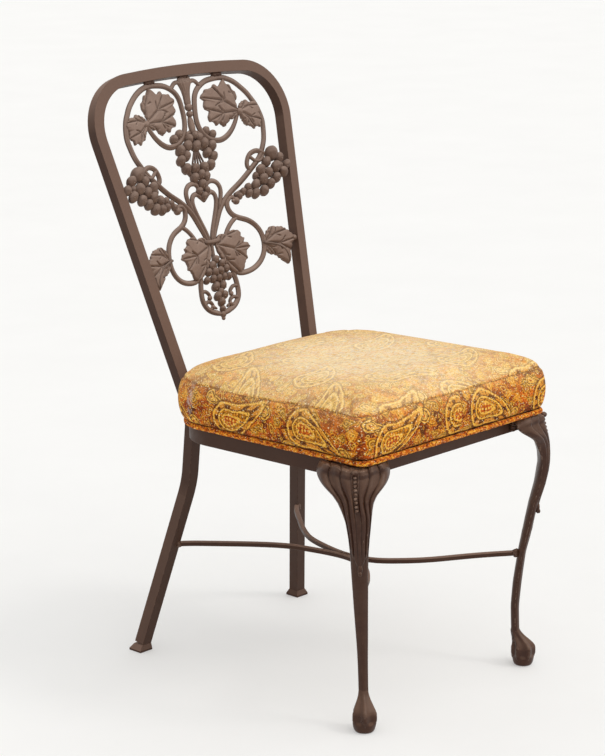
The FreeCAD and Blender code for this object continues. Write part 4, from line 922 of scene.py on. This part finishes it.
# ------------------------------------------------------------------ weld beads
wt = Shells()
for k, x_ in enumerate((-77, 0, 77)):
    wtop = (556.3 - 1958.0) + math.sqrt(1958.0 ** 2 - x_ ** 2) - 9.5
    for j, (dx, rr) in enumerate(((-6, 4.6), (0, 5.6), (6, 4.4))):
        lump(wt, hoop(x_ + dx, wtop - 2.2 + 0.4 * j, -0.8), (rr + 1.0, 4.6, rr * 0.95), AX, 0.22, 1.5, 3, 40 + k * 3 + j)
place(wt.make("top_weld_beads"), M_FRAME, "frame_paint", "medallion_top_welds")
ws_ = Shells()
for sx in (1, -1):
    lump(ws_, hoop(sx * 187.5, 372.5, 4.5), (4.6, 4.4, 4.8), AX, 0.2, 1.6, 3, 50)
    lump(ws_, hoop(sx * 172.0, 250.0, 1.5), (4.2, 4.4, 5.0), AX, 0.2, 1.6, 3, 51)
place(ws_.make("side_weld_beads"), M_FRAME, "frame_paint", "medallion_side_welds")
we = Shells()
for sx in (1, -1):
    for k, (dx, dy, dz, rr) in enumerate(((0, 0, 0, 5.6), (2.2, 1.6, 3.2, 3.8), (-1.6, 1.8, -3.0, 3.8))):
        lump(we, (sx * (143.5 + dx), 146.5 + OY + dy, 184.0 + dz), (rr, rr * 0.95, rr), None, 0.22, 1.6, 3, 60 + k)
        lump(we, (sx * (188.4 + dx * 0.5), -298.4 + OY - dy * 0.6, 189.4 + dz), (rr * 1.12, rr * 1.05, rr * 1.12), None, 0.2, 1.6, 3, 70 + k)
place(we.make("stretcher_weld_beads"), M_LEG, "frame_paint", "stretcher_end_welds")
wc = Shells()
for k, dy in enumerate((-8, -3.5, 0.5, 5, 9)):
    lump(wc, (0.4 * (-1) ** k, -94 + OY + dy, 184.0 + 1.2), (4.3, 3.6, 4.6), None, 0.2, 1.7, 3, 80 + k)
place(wc.make("center_weld_beads"), M_LEG, "frame_paint", "stretcher_center_weld")
wb = Shells()
for sx in (1, -1):
    for x_ in (134.5, 150.5):
        for k, dz in enumerate((-8, -3, 2, 7)):
            lump(wb, (sx * x_, 99.6 + OY + (-3.2 if x_ > 140 else 0.3), 403.5 + dz), (2.9, 3.6, 3.4), None, 0.2, 1.8, 3, 90 + k)
place(wb.make("seat_band_beads"), M_FRAME, "frame_paint", "seat_band_welds")

# ------------------------------------------------------------------ front legs
# centre line of the shaft, half width, and how far front and back stand out from the corner of the seat frame
LEGC = [(24, 189.0, -306.8), (42, 187.2, -304.4), (60, 186.3, -302.7), (100, 186.0, -301.0), (140, 189.2, -302.2), (180, 193.8, -304.0), (220, 200.7, -308.2),
        (260, 210.5, -315.4), (300, 218.3, -321.0), (330, 221.8, -322.8), (360, 224.0, -322.6), (390, 225.0, -321.5), (427, 221.0, -318.0)]
LATH = [(24, 8.6), (42, 7.7), (60, 7.5), (100, 7.8), (125, 8.4), (176, 10.2), (230, 12.0), (287, 13.8), (315, 16.0), (342, 19.4), (359, 23.4), (370, 27.0), (380, 33.0),
        (387, 40.0), (393, 46.5), (398, 51.0), (404, 54.2), (410, 55.3), (416, 54.8), (421, 52.6), (425, 49.0)]
FRNT = [(24, -6.8), (42, -10.8), (60, -12.9), (100, -14.2), (140, -10.7), (192, -4.4), (228, 4.9), (274, 14.0), (308, 23.2), (330, 27.9), (345, 29.5), (359, 29.7), (376, 28.6),
        (388, 26.4), (398, 24.2), (408, 22.0), (417, 20.6), (425, 19.6)]
BACK = [(24, -22.4), (42, -24.4), (60, -25.9), (100, -27.4), (140, -24.7), (192, -17.2), (228, -10.4), (274, -1.4), (308, 7.2), (342, 12.6), (359, 11.7), (372, 8.0), (386, 2.0),
        (396, 0.4), (425, 0.4)]
EDGE = [(24, -14.6), (42, -17.6), (60, -19.4), (100, -20.8), (140, -17.7), (192, -10.8), (228, -2.8), (274, 6.3), (308, 15.4), (342, 18.6), (359, 16.0), (376, 11.5), (388, 5.0),
        (396, -5.0), (402, -15.0), (408, -22.0), (414, -25.5), (425, -26.5)]
CX, CY = 212.0, -304.4 + OY
LAT = np.array([math.sqrt(0.5), math.sqrt(0.5), 0.0])
OUT = np.array([math.sqrt(0.5), -math.sqrt(0.5), 0.0])


def smooth01(t):
    t = np.clip(t, 0, 1)
    return t * t * (3 - 2 * t)


def column(table, zs, k=1, rounds=5):
    t = np.array(table, float)
    c = np.interp(zs, t[:, 0], t[:, k])
    for _ in range(rounds):
        c[1:-1] = (c[:-2] + c[1:-1] * 2 + c[2:]) / 4
    return c


FLUTES = 3.0


def leg_shell():
    sh = Shells()
    zs = np.concatenate([np.linspace(40, 226, 56), np.linspace(227.5, 424.4, 166)])
    nu = 161
    u = np.linspace(-1, 1, nu)
    au = np.abs(u)
    lc = np.array(LEGC)
    lat0 = np.interp(zs, lc[:, 0], (lc[:, 1] - 212.0) * LAT[0] + (lc[:, 2] + 304.4) * LAT[1])
    lat0 = lat0 * (1 - smooth01((zs - 340.0) / 56.0))
    for _ in range(8):
        lat0[1:-1] = (lat0[:-2] + lat0[1:-1] * 2 + lat0[2:]) / 4
    H, FR, BK, ED = (column(t, zs) for t in (LATH, FRNT, BACK, EDGE))
    corner = np.array([CX, CY, 0.0])
    ga = np.abs(np.cos(u * math.pi / 2)) ** 0.92
    sa = np.sign(u) * np.abs(np.sin(u * math.pi / 2)) ** 0.92
    gb = 1 - (np.sqrt(u * u + 0.2) - 0.2 ** 0.5) / (1.2 ** 0.5 - 0.2 ** 0.5)
    wave = np.abs(np.cos((au - 0.10) / 0.90 * math.pi * FLUTES - 0.5 * math.pi))
    rings = []
    for i, z in enumerate(zs):
        h, fr, bk, ed = H[i], FR[i], BK[i], ED[i]
        k = float(smooth01((z - 338.0) / 44.0))
        te = 4.6 * k
        s = lat0[i] + h * ((1 - k) * sa + k * u)
        g_ = (1 - k) * ga + k * gb
        round_ = np.sqrt(np.clip(1 - np.clip((au - 0.90) / 0.10, 0, 1) ** 2, 0, 1))
        front = ed + te * (k * round_ + 1 - k) + (fr - ed - te) * g_
        back = ed - te + (bk - ed + te) * g_
        lie = -np.abs(s) + 0.35
        back = np.where(z > 380.0, np.maximum(back, lie), back)
        grow = float(smooth01((z - 258.0) / 52.0))
        amp = (2.9 + 1.5 * k) * grow
        rel = amp * (wave ** 0.75 - 0.55) * smooth01((1.0 - au) / 0.05) * smooth01((au - 0.085) / 0.045)
        # rolled lobe at the end of each wing
        lobe = float(smooth01((z - 384.0) / 22.0))
        rel = rel + lobe * (2.4 * np.exp(-((au - 0.84) / 0.12) ** 2) - 2.2 * np.exp(-((au - 0.60) / 0.07) ** 2)) * smooth01((1.0 - au) / 0.05)
        # beaded channel down the middle
        rel = rel - 2.6 * smooth01((z - 322.0) / 34.0) * np.exp(-((s - lat0[i]) / 4.3) ** 4)
        # the leaf steps down to the plain shaft at its tip
        tip = 0.94 * float(smooth01((z - 256.0) / 58.0))
        rel = rel + 1.7 * smooth01((tip - au) / 0.10 + 0.5) * (z > 257)
        # midrib below the channel
        rel = rel + 1.2 * np.exp(-((s - lat0[i]) / 2.4) ** 2) * smooth01((330.0 - z) / 20.0) * smooth01((z - 259.0) / 8.0)
        # rolled lip at the head
        rel = rel + 1.7 * k * math.exp(-((z - 419.0) / 4.0) ** 2) * (0.5 + 0.5 * wave) - 0.5 * k * math.exp(-((z - 411.0) / 3.0) ** 2)
        # soft facets of the plain shaft
        rel = rel + 0.5 * np.cos(u * math.pi * 2) * float(smooth01((250.0 - z) / 20.0)) * smooth01((0.95 - au) / 0.1)
        front = front + rel
        zz = z - float(smooth01((z - 398.0) / 24.0)) * (4.2 * (1 - wave ** 0.6) * smooth01((au - 0.12) / 0.05) + 4.5 * (1 - smooth01((au - 0.15) / 0.45)))
        zf = np.broadcast_to(zz, u.shape)
        A = corner + s[:, None] * LAT + front[:, None] * OUT
        Bk = corner + s[:, None] * LAT + np.minimum(back, front - 1.2)[:, None] * OUT
        A[:, 2] = zf
        Bk[:, 2] = z
        rings.append(np.concatenate([A, Bk[::-1][1:-1]]))
    n = len(rings[0])
    V = np.concatenate(rings)
    F = [(i * n + (k + 1) % n, i * n + k, (i + 1) * n + k, (i + 1) * n + (k + 1) % n) for i in range(len(rings) - 1) for k in range(n)]
    F = [tuple(reversed(q)) for q in F]
    V = np.concatenate([V, [rings[0].mean(0)]])
    F += [(len(V) - 1, (k + 1) % n, k) for k in range(n)]
    b0 = (len(rings) - 1) * n

    def back_k(q):
        return b0 + (q if q in (0, nu - 1) else 2 * nu - 2 - q)
    for k in range(nu - 1):
        quad = [b0 + k, b0 + k + 1, back_k(k + 1), back_k(k)]
        quad = [q for i, q in enumerate(quad) if q not in quad[:i]]
        F.append(tuple(quad))
    sh.add(V, F)

    def front_at(z):
        i = int(np.argmin(np.abs(zs - z)))
        return rings[i][nu // 2]

    for i, z in enumerate(np.linspace(411, 362, 9)):
        p = front_at(z)
        lump(sh, p + OUT * 0.9 + np.array([0, 0, z - p[2]]), (3.1, 3.1, 2.6), None, 0.05, 1.2, 2, i)
    # the tip of the leaf turns out
    p = front_at(263)
    SP = np.array([OUT, LAT, [0, 0, 1]])
    lump(sh, p + np.array([0, 0, 2.0]) - OUT * 0.4, (3.6, 4.0, 10.0), SP, 0.06, 1.2, 3, 21)
    lump(sh, p + np.array([0, 0, -4.0]) + OUT * 1.6, (2.8, 2.8, 4.0), SP, 0.06, 1.2, 3, 22)
    # ribbed roll where each wing ends on the rail
    for sg in (1, -1):
        d = np.array([-1, 0, 0]) if sg < 0 else np.array([0, 1, 0])
        nrm = np.array([0, -1, 0]) if sg < 0 else np.array([1, 0, 0])
        end = np.array([CX, CY, 0]) + d * 51.0 + nrm * 4.0
        for i, z in enumerate((404.6, 408.9, 413.2, 417.5, 421.4)):
            lump(sh, end + np.array([0, 0, z]) - d * 0.3 * i, (5.0, 4.6, 2.9), None, 0.05, 1.3, 3, i + 3)
    # knob on the corner under the cushion
    lump(sh, np.array([CX, CY, 419.0]) + OUT * 20.5, (6.0, 6.0, 4.6), None, 0.06, 1.2, 3, 23)

    # claw and ball: one sculpted surface with five toes
    fx, fy_ = 189.0, -306.8 + OY
    prof = [(0.0, 10.0), (0.0, 13.0), (0.6, 14.4), (2.4, 15.8), (5.0, 16.8), (8.5, 17.6), (12.0, 18.1), (17.0, 18.6), (23.0, 18.8), (29.0, 18.6), (34.0, 17.3), (39.0, 15.0), (44.0, 12.4),
            (49.0, 10.2), (54.0, 8.8), (60.0, 7.6), (66.0, 5.4)]
    pz = np.array([q[0] for q in prof])
    pr = np.array([q[1] for q in prof])
    tt = np.linspace(0, len(prof) - 1, 100)
    zz = np.interp(tt, np.arange(len(prof)), pz)
    rr = np.interp(tt, np.arange(len(prof)), pr)
    for _ in range(4):
        rr[1:-1] = (rr[:-2] + rr[1:-1] * 2 + rr[2:]) / 4
    m_ = 128
    th = np.linspace(0, 2 * math.pi, m_, endpoint=False)
    toes = np.array([0.0, 1.12, -1.12, 2.25, -2.25, math.pi])
    lc_c = np.array([np.interp(66, lc[:, 0], lc[:, 1]), np.interp(66, lc[:, 0], lc[:, 2]) + OY])
    rows_ = []
    for z, r in zip(zz, rr):
        q = float(smooth01((z - 30.0) / 32.0))
        c = np.array([fx, fy_]) * (1 - q) + lc_c * q + OUT[:2] * 8.6 * (1 - q)
        dd = np.abs((th[:, None] - toes[None] + math.pi) % (2 * math.pi) - math.pi).min(1)
        ridge = np.exp(-(dd / 0.30) ** 2)
        up_ = float(smooth01((z - 12.0) / 8.0) * smooth01((64.0 - z) / 18.0))
        rad = r * (1 - 0.15 * up_ + 0.25 * up_ * ridge)
        fb = np.where(np.cos(th) < 0, 0.94, 1.02)
        x = c[0] + rad * (fb * np.cos(th) * OUT[0] + np.sin(th) * LAT[0])
        y = c[1] + rad * (fb * np.cos(th) * OUT[1] + np.sin(th) * LAT[1])
        rows_.append(np.stack([x, y, np.full(m_, z)], 1))
    R_ = len(rows_)
    V = np.concatenate(rows_ + [[rows_[0].mean(0)], [rows_[-1].mean(0)]])
    F = [(i * m_ + k, i * m_ + (k + 1) % m_, (i + 1) * m_ + (k + 1) % m_, (i + 1) * m_ + k) for i in range(R_ - 1) for k in range(m_)]
    F += [(len(V) - 2, (k + 1) % m_, k) for k in range(m_)]
    F += [(len(V) - 1, (R_ - 1) * m_ + k, (R_ - 1) * m_ + (k + 1) % m_) for k in range(m_)]
    sh.add(V, F)
    for t_ in toes:
        d = math.cos(t_) * OUT * (1.0 if abs(t_) < 1.7 else 0.94) + math.sin(t_) * LAT
        c = np.array([fx, fy_, 0]) + OUT * 8.6
        dn = unit(d)
        tn = np.cross([0, 0, 1.0], dn)
        lump(sh, c + d * 16.6 + np.array([0, 0, 29.0]), (3.8, 3.9, 6.0), np.array([dn, tn, [0, 0, 1]]), 0.05, 1.2, 3, 31)
        lump(sh, c + d * 17.0 + np.array([0, 0, 18.0]), (2.8, 2.6, 8.4), np.array([dn, tn, [0, 0, 1]]), 0.05, 1.2, 3, 32)
    return sh


both(leg_shell(), "cabriole_leg", M_LEG, "leg_casting", "front_leg")


# ------------------------------------------------------------------ cushion
def rounded_loop(hw, ya, yb, rf, rr, n=400):
    """closed loop, counter-clockwise seen from above, starting at the middle of the front, with arc length"""
    seg = []

    def line(p, q):
        seg.append(("l", np.array(p, float), np.array(q, float)))

    def arc(c, r, s, e):
        seg.append(("a", np.array(c, float), r, math.radians(s), math.radians(e)))
    line((0, ya), (hw - rf, ya))
    arc((hw - rf, ya + rf), rf, -90, 0)
    line((hw, ya + rf), (hw, yb - rr))
    arc((hw - rr, yb - rr), rr, 0, 90)
    line((hw - rr, yb), (-hw + rr, yb))
    arc((-hw + rr, yb - rr), rr, 90, 180)
    line((-hw, yb - rr), (-hw, ya + rf))
    arc((-hw + rf, ya + rf), rf, 180, 270)
    line((-hw + rf, ya), (0, ya))
    pts = []
    for q in seg:
        if q[0] == "l":
            pts.append(q[1] + (q[2] - q[1]) * np.linspace(0, 1, 60, endpoint=False)[:, None])
        else:
            a_ = np.linspace(q[3], q[4], 60, endpoint=False)
            pts.append(q[1] + q[2] * np.stack([np.cos(a_), np.sin(a_)], 1))
    P = np.concatenate(pts + [pts[0][:1]])
    s = np.concatenate([[0], np.cumsum(np.hypot(*np.diff(P, axis=0).T))])
    u = np.linspace(0, s[-1], n, endpoint=False)
    return np.stack([np.interp(u, s, P[:, 0]), np.interp(u, s, P[:, 1])], 1), u


CY0, CY1 = -15.0, 402.0
NP = 420
loop_xy, loop_s = rounded_loop(219.0, CY0 - 8.5, CY1 - 1.0, 20.0, 78.0, NP)
cen_xy = np.array([0.0, 0.5 * (CY0 + CY1)])
nrm_xy = unit(np.roll(loop_xy, -1, 0) - np.roll(loop_xy, 1, 0))
nrm_xy = np.stack([nrm_xy[:, 1], -nrm_xy[:, 0]], 1)


def seam_height(y):
    """height of the top seam: high at the front, lower towards the back"""
    t = np.clip((y - CY0) / (CY1 - CY0), 0, 1)
    return 101.0 - 3.0 * smooth01(t / 0.8) + 1.0 * np.sin(t * 9.0)


def cushion_mesh():
    zs = seam_height(loop_xy[:, 1])
    verts, uvs, kind = [], [], []
    # side: from the welt up to the seam
    ns = 26
    for i in range(ns + 1):
        t = i / ns
        t1 = max(0.0, (t - 0.095) / 0.905)
        bul = 9.6 * max(0.0, math.sin(math.pi * min(1.0, 0.03 + t1 * 0.985))) ** 0.62 - 3.6 * math.exp(-(t1 / 0.05) ** 2) - 2.4 * (1 - t) ** 3
        pucker = 0.5 * np.sin(loop_s / 13.0 + 2.0 * np.sin(loop_s / 41.0)) * (math.exp(-(t / 0.16) ** 2) + 0.8 * math.exp(-((1 - t) / 0.16) ** 2))
        xy = loop_xy + nrm_xy * (bul + pucker)[:, None] if isinstance(pucker, np.ndarray) else loop_xy
        z = 26.2 + (zs - 26.2) * t
        verts.append(np.stack([xy[:, 0], xy[:, 1], z], 1))
    # top: rings shrinking towards the middle, rising to the crown
    nt = 62
    for i in range(1, nt + 1):
        f = 1 - (i / (nt + 0.5)) ** 1.35
        q = cen_xy + (loop_xy - cen_xy) * f
        # rings become rounder inside
        edge = 1 - f
        rise = 17.5 * (1 - np.exp(-edge / 0.036)) + 7.6 * (1 - f ** 2.4)
        t_y = np.clip((q[:, 1] - CY0) / (CY1 - CY0), 0, 1)
        base_z = 101.0 - 3.0 * smooth01(t_y / 0.8)
        z = base_z * (1 - edge) + (94.0 - 2.0 * t_y) * edge + rise
        z = z + 0.8 * np.sin(q[:, 0] / 37.0 + 1.0) * np.sin(q[:, 1] / 43.0)
        verts.append(np.stack([q[:, 0], q[:, 1], z], 1))
    # bottom: rings under the cushion
    nb = 20
    bot_ = []
    for i in range(1, nb + 1):
        f = 1 - i / (nb + 0.5)
        q = cen_xy + (loop_xy - nrm_xy * 2.5 - cen_xy) * f
        bot_.append(np.stack([q[:, 0], q[:, 1], np.full(NP, 25.5)], 1))
    rows_ = bot_[::-1] + verts
    R = len(rows_)
    V = np.concatenate(rows_)
    F = [(i * NP + k, i * NP + (k + 1) % NP, (i + 1) * NP + (k + 1) % NP, (i + 1) * NP + k) for i in range(R - 1) for k in range(NP)]
    V = np.concatenate([V, [rows_[0].mean(0)], [rows_[-1].mean(0)]])
    F += [(len(V) - 2, (k + 1) % NP, k) for k in range(NP)]
    F += [(len(V) - 1, (R - 1) * NP + k, (R - 1) * NP + (k + 1) % NP) for k in range(NP)]
    return V, F, nb, ns, R


V, F, NB, NS, NR = cushion_mesh()
seam_row = NB + NS
cush = mesh_object("seat_cushion_cloth", V, F)


def simulate(ob, cap_mm=9.0):
    """blow the sewn shape up a little as cloth, then keep what moved within the cap"""
    sc = bpy.context.scene
    work = ob.copy()
    work.data = ob.data.copy()
    sc.collection.objects.link(work)
    start = np.empty(len(work.data.vertices) * 3)
    work.data.vertices.foreach_get("co", start)
    start = start.reshape(-1, 3)
    vg = work.vertex_groups.new(name="hold")
    z0 = start[:, 2]
    rows_ = np.arange(len(start)) // NP
    for i in range(len(start)):
        wgt = 0.0
        if z0[i] < 0.0268 or (i < NR * NP and NB <= rows_[i] <= NB + 4):
            wgt = 1.0
        elif i < NR * NP and rows_[i] == seam_row:
            wgt = 0.55
        if wgt:
            vg.add([i], wgt, "REPLACE")
    mod = work.modifiers.new("cloth", "CLOTH")
    st = mod.settings
    st.quality = 5
    st.mass = 0.4
    st.tension_stiffness = 12.0
    st.compression_stiffness = 12.0
    st.shear_stiffness = 4.0
    st.bending_stiffness = 0.6
    st.use_pressure = True
    st.uniform_pressure_force = 4.0
    st.vertex_group_mass = "hold"
    st.effector_weights.gravity = 0.0
    mod.collision_settings.use_collision = False
    mod.point_cache.frame_start, mod.point_cache.frame_end = 1, 20
    for fr in range(1, 21):
        sc.frame_set(fr)
    dg = bpy.context.evaluated_depsgraph_get()
    ev = work.evaluated_get(dg)
    end = np.empty(len(start) * 3)
    ev.data.vertices.foreach_get("co", end)
    end = end.reshape(-1, 3)
    d = end - start
    ln = np.linalg.norm(d, axis=1, keepdims=True)
    cap = cap_mm * MM
    d = d * np.minimum(1.0, cap * np.tanh(ln / cap) / np.maximum(ln, 1e-9))
    res = start + d
    print("cushion cloth moved up to %.1f mm, kept %.1f mm" % (ln.max() * 1000, np.linalg.norm(d, axis=1).max() * 1000))
    bpy.data.objects.remove(work, do_unlink=True)
    sc.frame_set(1)
    return res


res = simulate(cush)
P = res * 1000.0
grid = P[:NR * NP].reshape(NR, NP, 3)
# the cloth stays on the board and inside the tubes
grid[:NB + 1, :, 2] = np.maximum(grid[:NB + 1, :, 2], 25.45)
grid[:, :, 2] = np.maximum(grid[:, :, 2], 25.45)
grid[:, :, 1] = np.where(grid[:, :, 1] > 403.6, 403.6 + (grid[:, :, 1] - 403.6) * 0.05, grid[:, :, 1])
grid[:, :, 0] = np.clip(grid[:, :, 0], -229.5, 229.5)
# pulled in along the seam
for dr, am in ((-1, 0.7), (0, 1.7), (1, 0.7)):
    g_ = grid[seam_row + dr]
    g_[:, :2] -= nrm_xy * am
    g_[:, 2] -= am * 0.5
P[:NR * NP] = grid.reshape(-1, 3)
world = seat(P[:, 0], P[:, 1], P[:, 2])
cush.data.vertices.foreach_set("co", (world * MM).reshape(-1))
cush.data.update()
# cloth coordinates: the top and bottom lie flat, the side is one long strip
uvl = cush.data.uv_layers.new(name="cloth")
arc = np.concatenate([[0], np.cumsum(np.hypot(*np.diff(np.concatenate([loop_xy, loop_xy[:1]]), axis=0).T))])
top_uv = np.empty((NR - seam_row, NP, 2))
top_uv[-1] = grid[NR - 1, :, :2]
for i in range(NR - seam_row - 2, -1, -1):
    step = np.linalg.norm(grid[seam_row + i] - grid[seam_row + i + 1], axis=1)
    top_uv[i] = top_uv[i + 1] + unit(grid[seam_row, :, :2] - cen_xy) * step[:, None]
for poly in cush.data.polygons:
    vi = list(poly.vertices)
    rows_v = [v_ // NP if v_ < NR * NP else (-1 if v_ == NR * NP else 999) for v_ in vi]
    side_face = min(rows_v) >= NB and max(rows_v) <= seam_row
    cols = [v_ % NP for v_ in vi]
    wrap = max(cols) - min(cols) > NP // 2
    for li, v_, cc in zip(poly.loop_indices, vi, cols):
        if side_face:
            s_ = arc[cc + NP] if False else (arc[cc] + (arc[-1] if wrap and cc < NP // 2 else 0.0))
            uvl.data[li].uv = ((s_ + 137.0) * MM, (P[v_, 2] - 17.0) * MM)
        elif v_ < NR * NP and v_ // NP >= seam_row:
            tu, tv = top_uv[v_ // NP - seam_row, cc]
            uvl.data[li].uv = ((tu + 900.0) * MM, (tv + 700.0) * MM)
        else:
            uvl.data[li].uv = ((P[v_, 0] + 900.0) * MM, (P[v_, 1] + 700.0) * MM)
place(cush, M_CLOTH, "cushion_fabric", "seat_cushion")

# plain seam along the top edge
seam = grid[seam_row].copy()
seam_w = seat(seam[:, 0], seam[:, 1], seam[:, 2] + 0.2)
sm = Shells()
fade_s = 0.35 + 0.45 * (1 - smooth01((loop_xy[:, 1] - 120.0) / 160.0)) + 0.12 * np.sin(loop_s / 3.1)
sweep(sm, seam_w, np.array([0, 0, 1.0]), circle(0.85, 8), fade_s, closed=True)
place(sm.make("top_seam"), M_SEAM, "cushion_fabric")

# piping along the bottom edge: cord in the same cloth, slightly twisted
wl, ws2 = rounded_loop(218.0, CY0 - 9.0, CY1 - 5.0, 17.0, 76.5, 720)
wob = 0.5 * np.sin(ws2 / 19.0) + 0.35 * np.sin(ws2 / 7.3 + 1.0)
prof_rows = []
base_prof = circle(4.1, 18)
for s_ in ws2:
    aa = np.linspace(0, 2 * math.pi, 18, endpoint=False)
    rr = 4.1 * (1 + 0.035 * np.cos(3 * aa + s_ / 2.6) + 0.03 * math.sin(s_ / 5.1))
    prof_rows.append(np.stack([rr * np.cos(aa), rr * np.sin(aa)], 1))
wp = seat(wl[:, 0], wl[:, 1], 29.9 + 0.25 * wob)
wsh = Shells()
sweep(wsh, wp, np.array([0, 0, 1.0]), np.array(prof_rows), closed=True)
welt = wsh.make("seat_welt_cord")
uvw = welt.data.uv_layers.new(name="cloth")
for poly in welt.data.polygons:
    vi = list(poly.vertices)
    rr_ = [v_ // 18 for v_ in vi]
    kk = [v_ % 18 for v_ in vi]
    wr = max(rr_) - min(rr_) > 300
    wk = max(kk) - min(kk) > 9
    for li, a_, k_ in zip(poly.loop_indices, rr_, kk):
        s_ = ws2[a_] + (ws2[1] * len(ws2) if wr and a_ < 300 else 0.0)
        uvw.data[li].uv = ((s_ + 40.0) * MM, ((k_ + (18 if wk and k_ < 9 else 0)) * 1.45 + 7.0 + 0.10 * s_) * MM)
place(welt, M_WELT, "welt_fabric", "seat_welt")
# flat lip that joins the piping to the cushion; its near-black colour is painted shade, standing for the staple line's
# shadow gap above it
lipl, _ = rounded_loop(213.0, CY0 - 4.0, CY1 - 8.0, 14.0, 72.0, 400)
lip = Shells()
sweep(lip, seat(lipl[:, 0], lipl[:, 1], 29.0), np.array([0, 0, 1.0]), np.array([(-3.5, -2.6), (3.5, -2.6), (3.9, 0.0), (3.5, 3.4), (-3.5, 3.4)]), closed=True)
place(lip.make("welt_lip"), M_LIP_SHADE, "welt_fabric")

# ------------------------------------------------------------------ finish of the parts that stay
for name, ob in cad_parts.items():
    mat = None
    if name in ("back_hoop", "seat_band", "front_rail") or name.startswith(("rear_foot", "corner_tab")):
        mat = M_FRAME
    elif name.startswith("stretcher_"):
        mat = M_FRAME
    elif name == "seat_board":
        mat = M_WOOD
    elif name == "seat_screws":
        mat = M_ZINC
    if mat is not None and ob.type == "MESH":
        for s_ in ob.material_slots:
            s_.material = mat
        if not ob.material_slots:
            ob.data.materials.append(mat)

# ------------------------------------------------------------------ stage, light, camera
fm, fnt = new_material("pale_floor")
g = G(fnt)
fo = g.node("ShaderNodeOutputMaterial")
fb = g.node("ShaderNodeBsdfPrincipled")
fco = g.node("ShaderNodeTexCoord").outputs["Object"]
fn = g.noise(fco, 3.0, 5.0, 0.6)
g.put(fb.inputs["Base Color"], g.ramp(fn, [(0.3, (0.560, 0.566, 0.566)), (0.7, (0.580, 0.586, 0.586))]))
fb.inputs["Emission Color"].default_value = (1.0, 1.0, 0.99, 1.0)
fb.inputs["Emission Strength"].default_value = 0.31
fb.inputs["Roughness"].default_value = 0.75
g.put(fo.inputs[0], fb.outputs[0])
fme = bpy.data.meshes.new("floor")
fme.from_pydata([(-14, -14, 0), (14, -14, 0), (14, 14, 0), (-14, 14, 0)], [], [(0, 1, 2, 3)])
floor = bpy.data.objects.new("floor", fme)
bpy.context.scene.collection.objects.link(floor)
floor.location.z = -0.0004
fme.materials.append(fm)

world_ = bpy.data.worlds.new("studio")
world_.use_nodes = True
wn = world_.node_tree
wn.nodes["Background"].inputs[0].default_value = (1.0, 0.985, 0.965, 1.0)
wn.nodes["Background"].inputs[1].default_value = 0.74
bpy.context.scene.world = world_


def sun(name, toward, angle, strength, color):
    ld = bpy.data.lights.new(name, "SUN")
    ld.angle = math.radians(angle)
    ld.energy = strength
    ld.color = color
    lo = bpy.data.objects.new(name, ld)
    lo.rotation_mode = "QUATERNION"
    lo.rotation_quaternion = (-Vector(toward)).to_track_quat("-Z", "Y")
    lo.location = Vector(toward) * 2.0
    bpy.context.scene.collection.objects.link(lo)


sun("key", (0.16, -0.50, 0.88), 66.0, 0.95, (1.0, 0.975, 0.94))
sun("spark", (0.34, -0.66, 0.72), 13.0, 0.42, (1.0, 0.97, 0.93))
sun("fill", (-0.75, -0.35, 0.55), 60.0, 0.16, (1.0, 0.98, 0.96))

cam_d = bpy.data.cameras.new("camera")
cam_d.lens = 2400.0 * 36.0 / 756.0
cam_d.sensor_width = 36.0
cam_d.clip_start, cam_d.clip_end = 0.05, 60.0
cam = bpy.data.objects.new("camera", cam_d)
bpy.context.scene.collection.objects.link(cam)
ca, ce = math.radians(-46.776), math.radians(14.222)
back = Vector((math.sin(ca) * math.cos(ce), -math.cos(ca) * math.cos(ce), math.sin(ce)))
cam.location = Vector((-2.7580, -2.5918 + OY * MM, 1.4253))
cam.rotation_mode = "QUATERNION"
cam.rotation_quaternion = (-back).to_track_quat("-Z", "Y")
bpy.context.scene.camera = cam
bpy.context.scene.view_settings.view_transform = "Standard"
bpy.context.scene.view_settings.look = "None"
bpy.context.scene.view_settings.exposure = 0.0
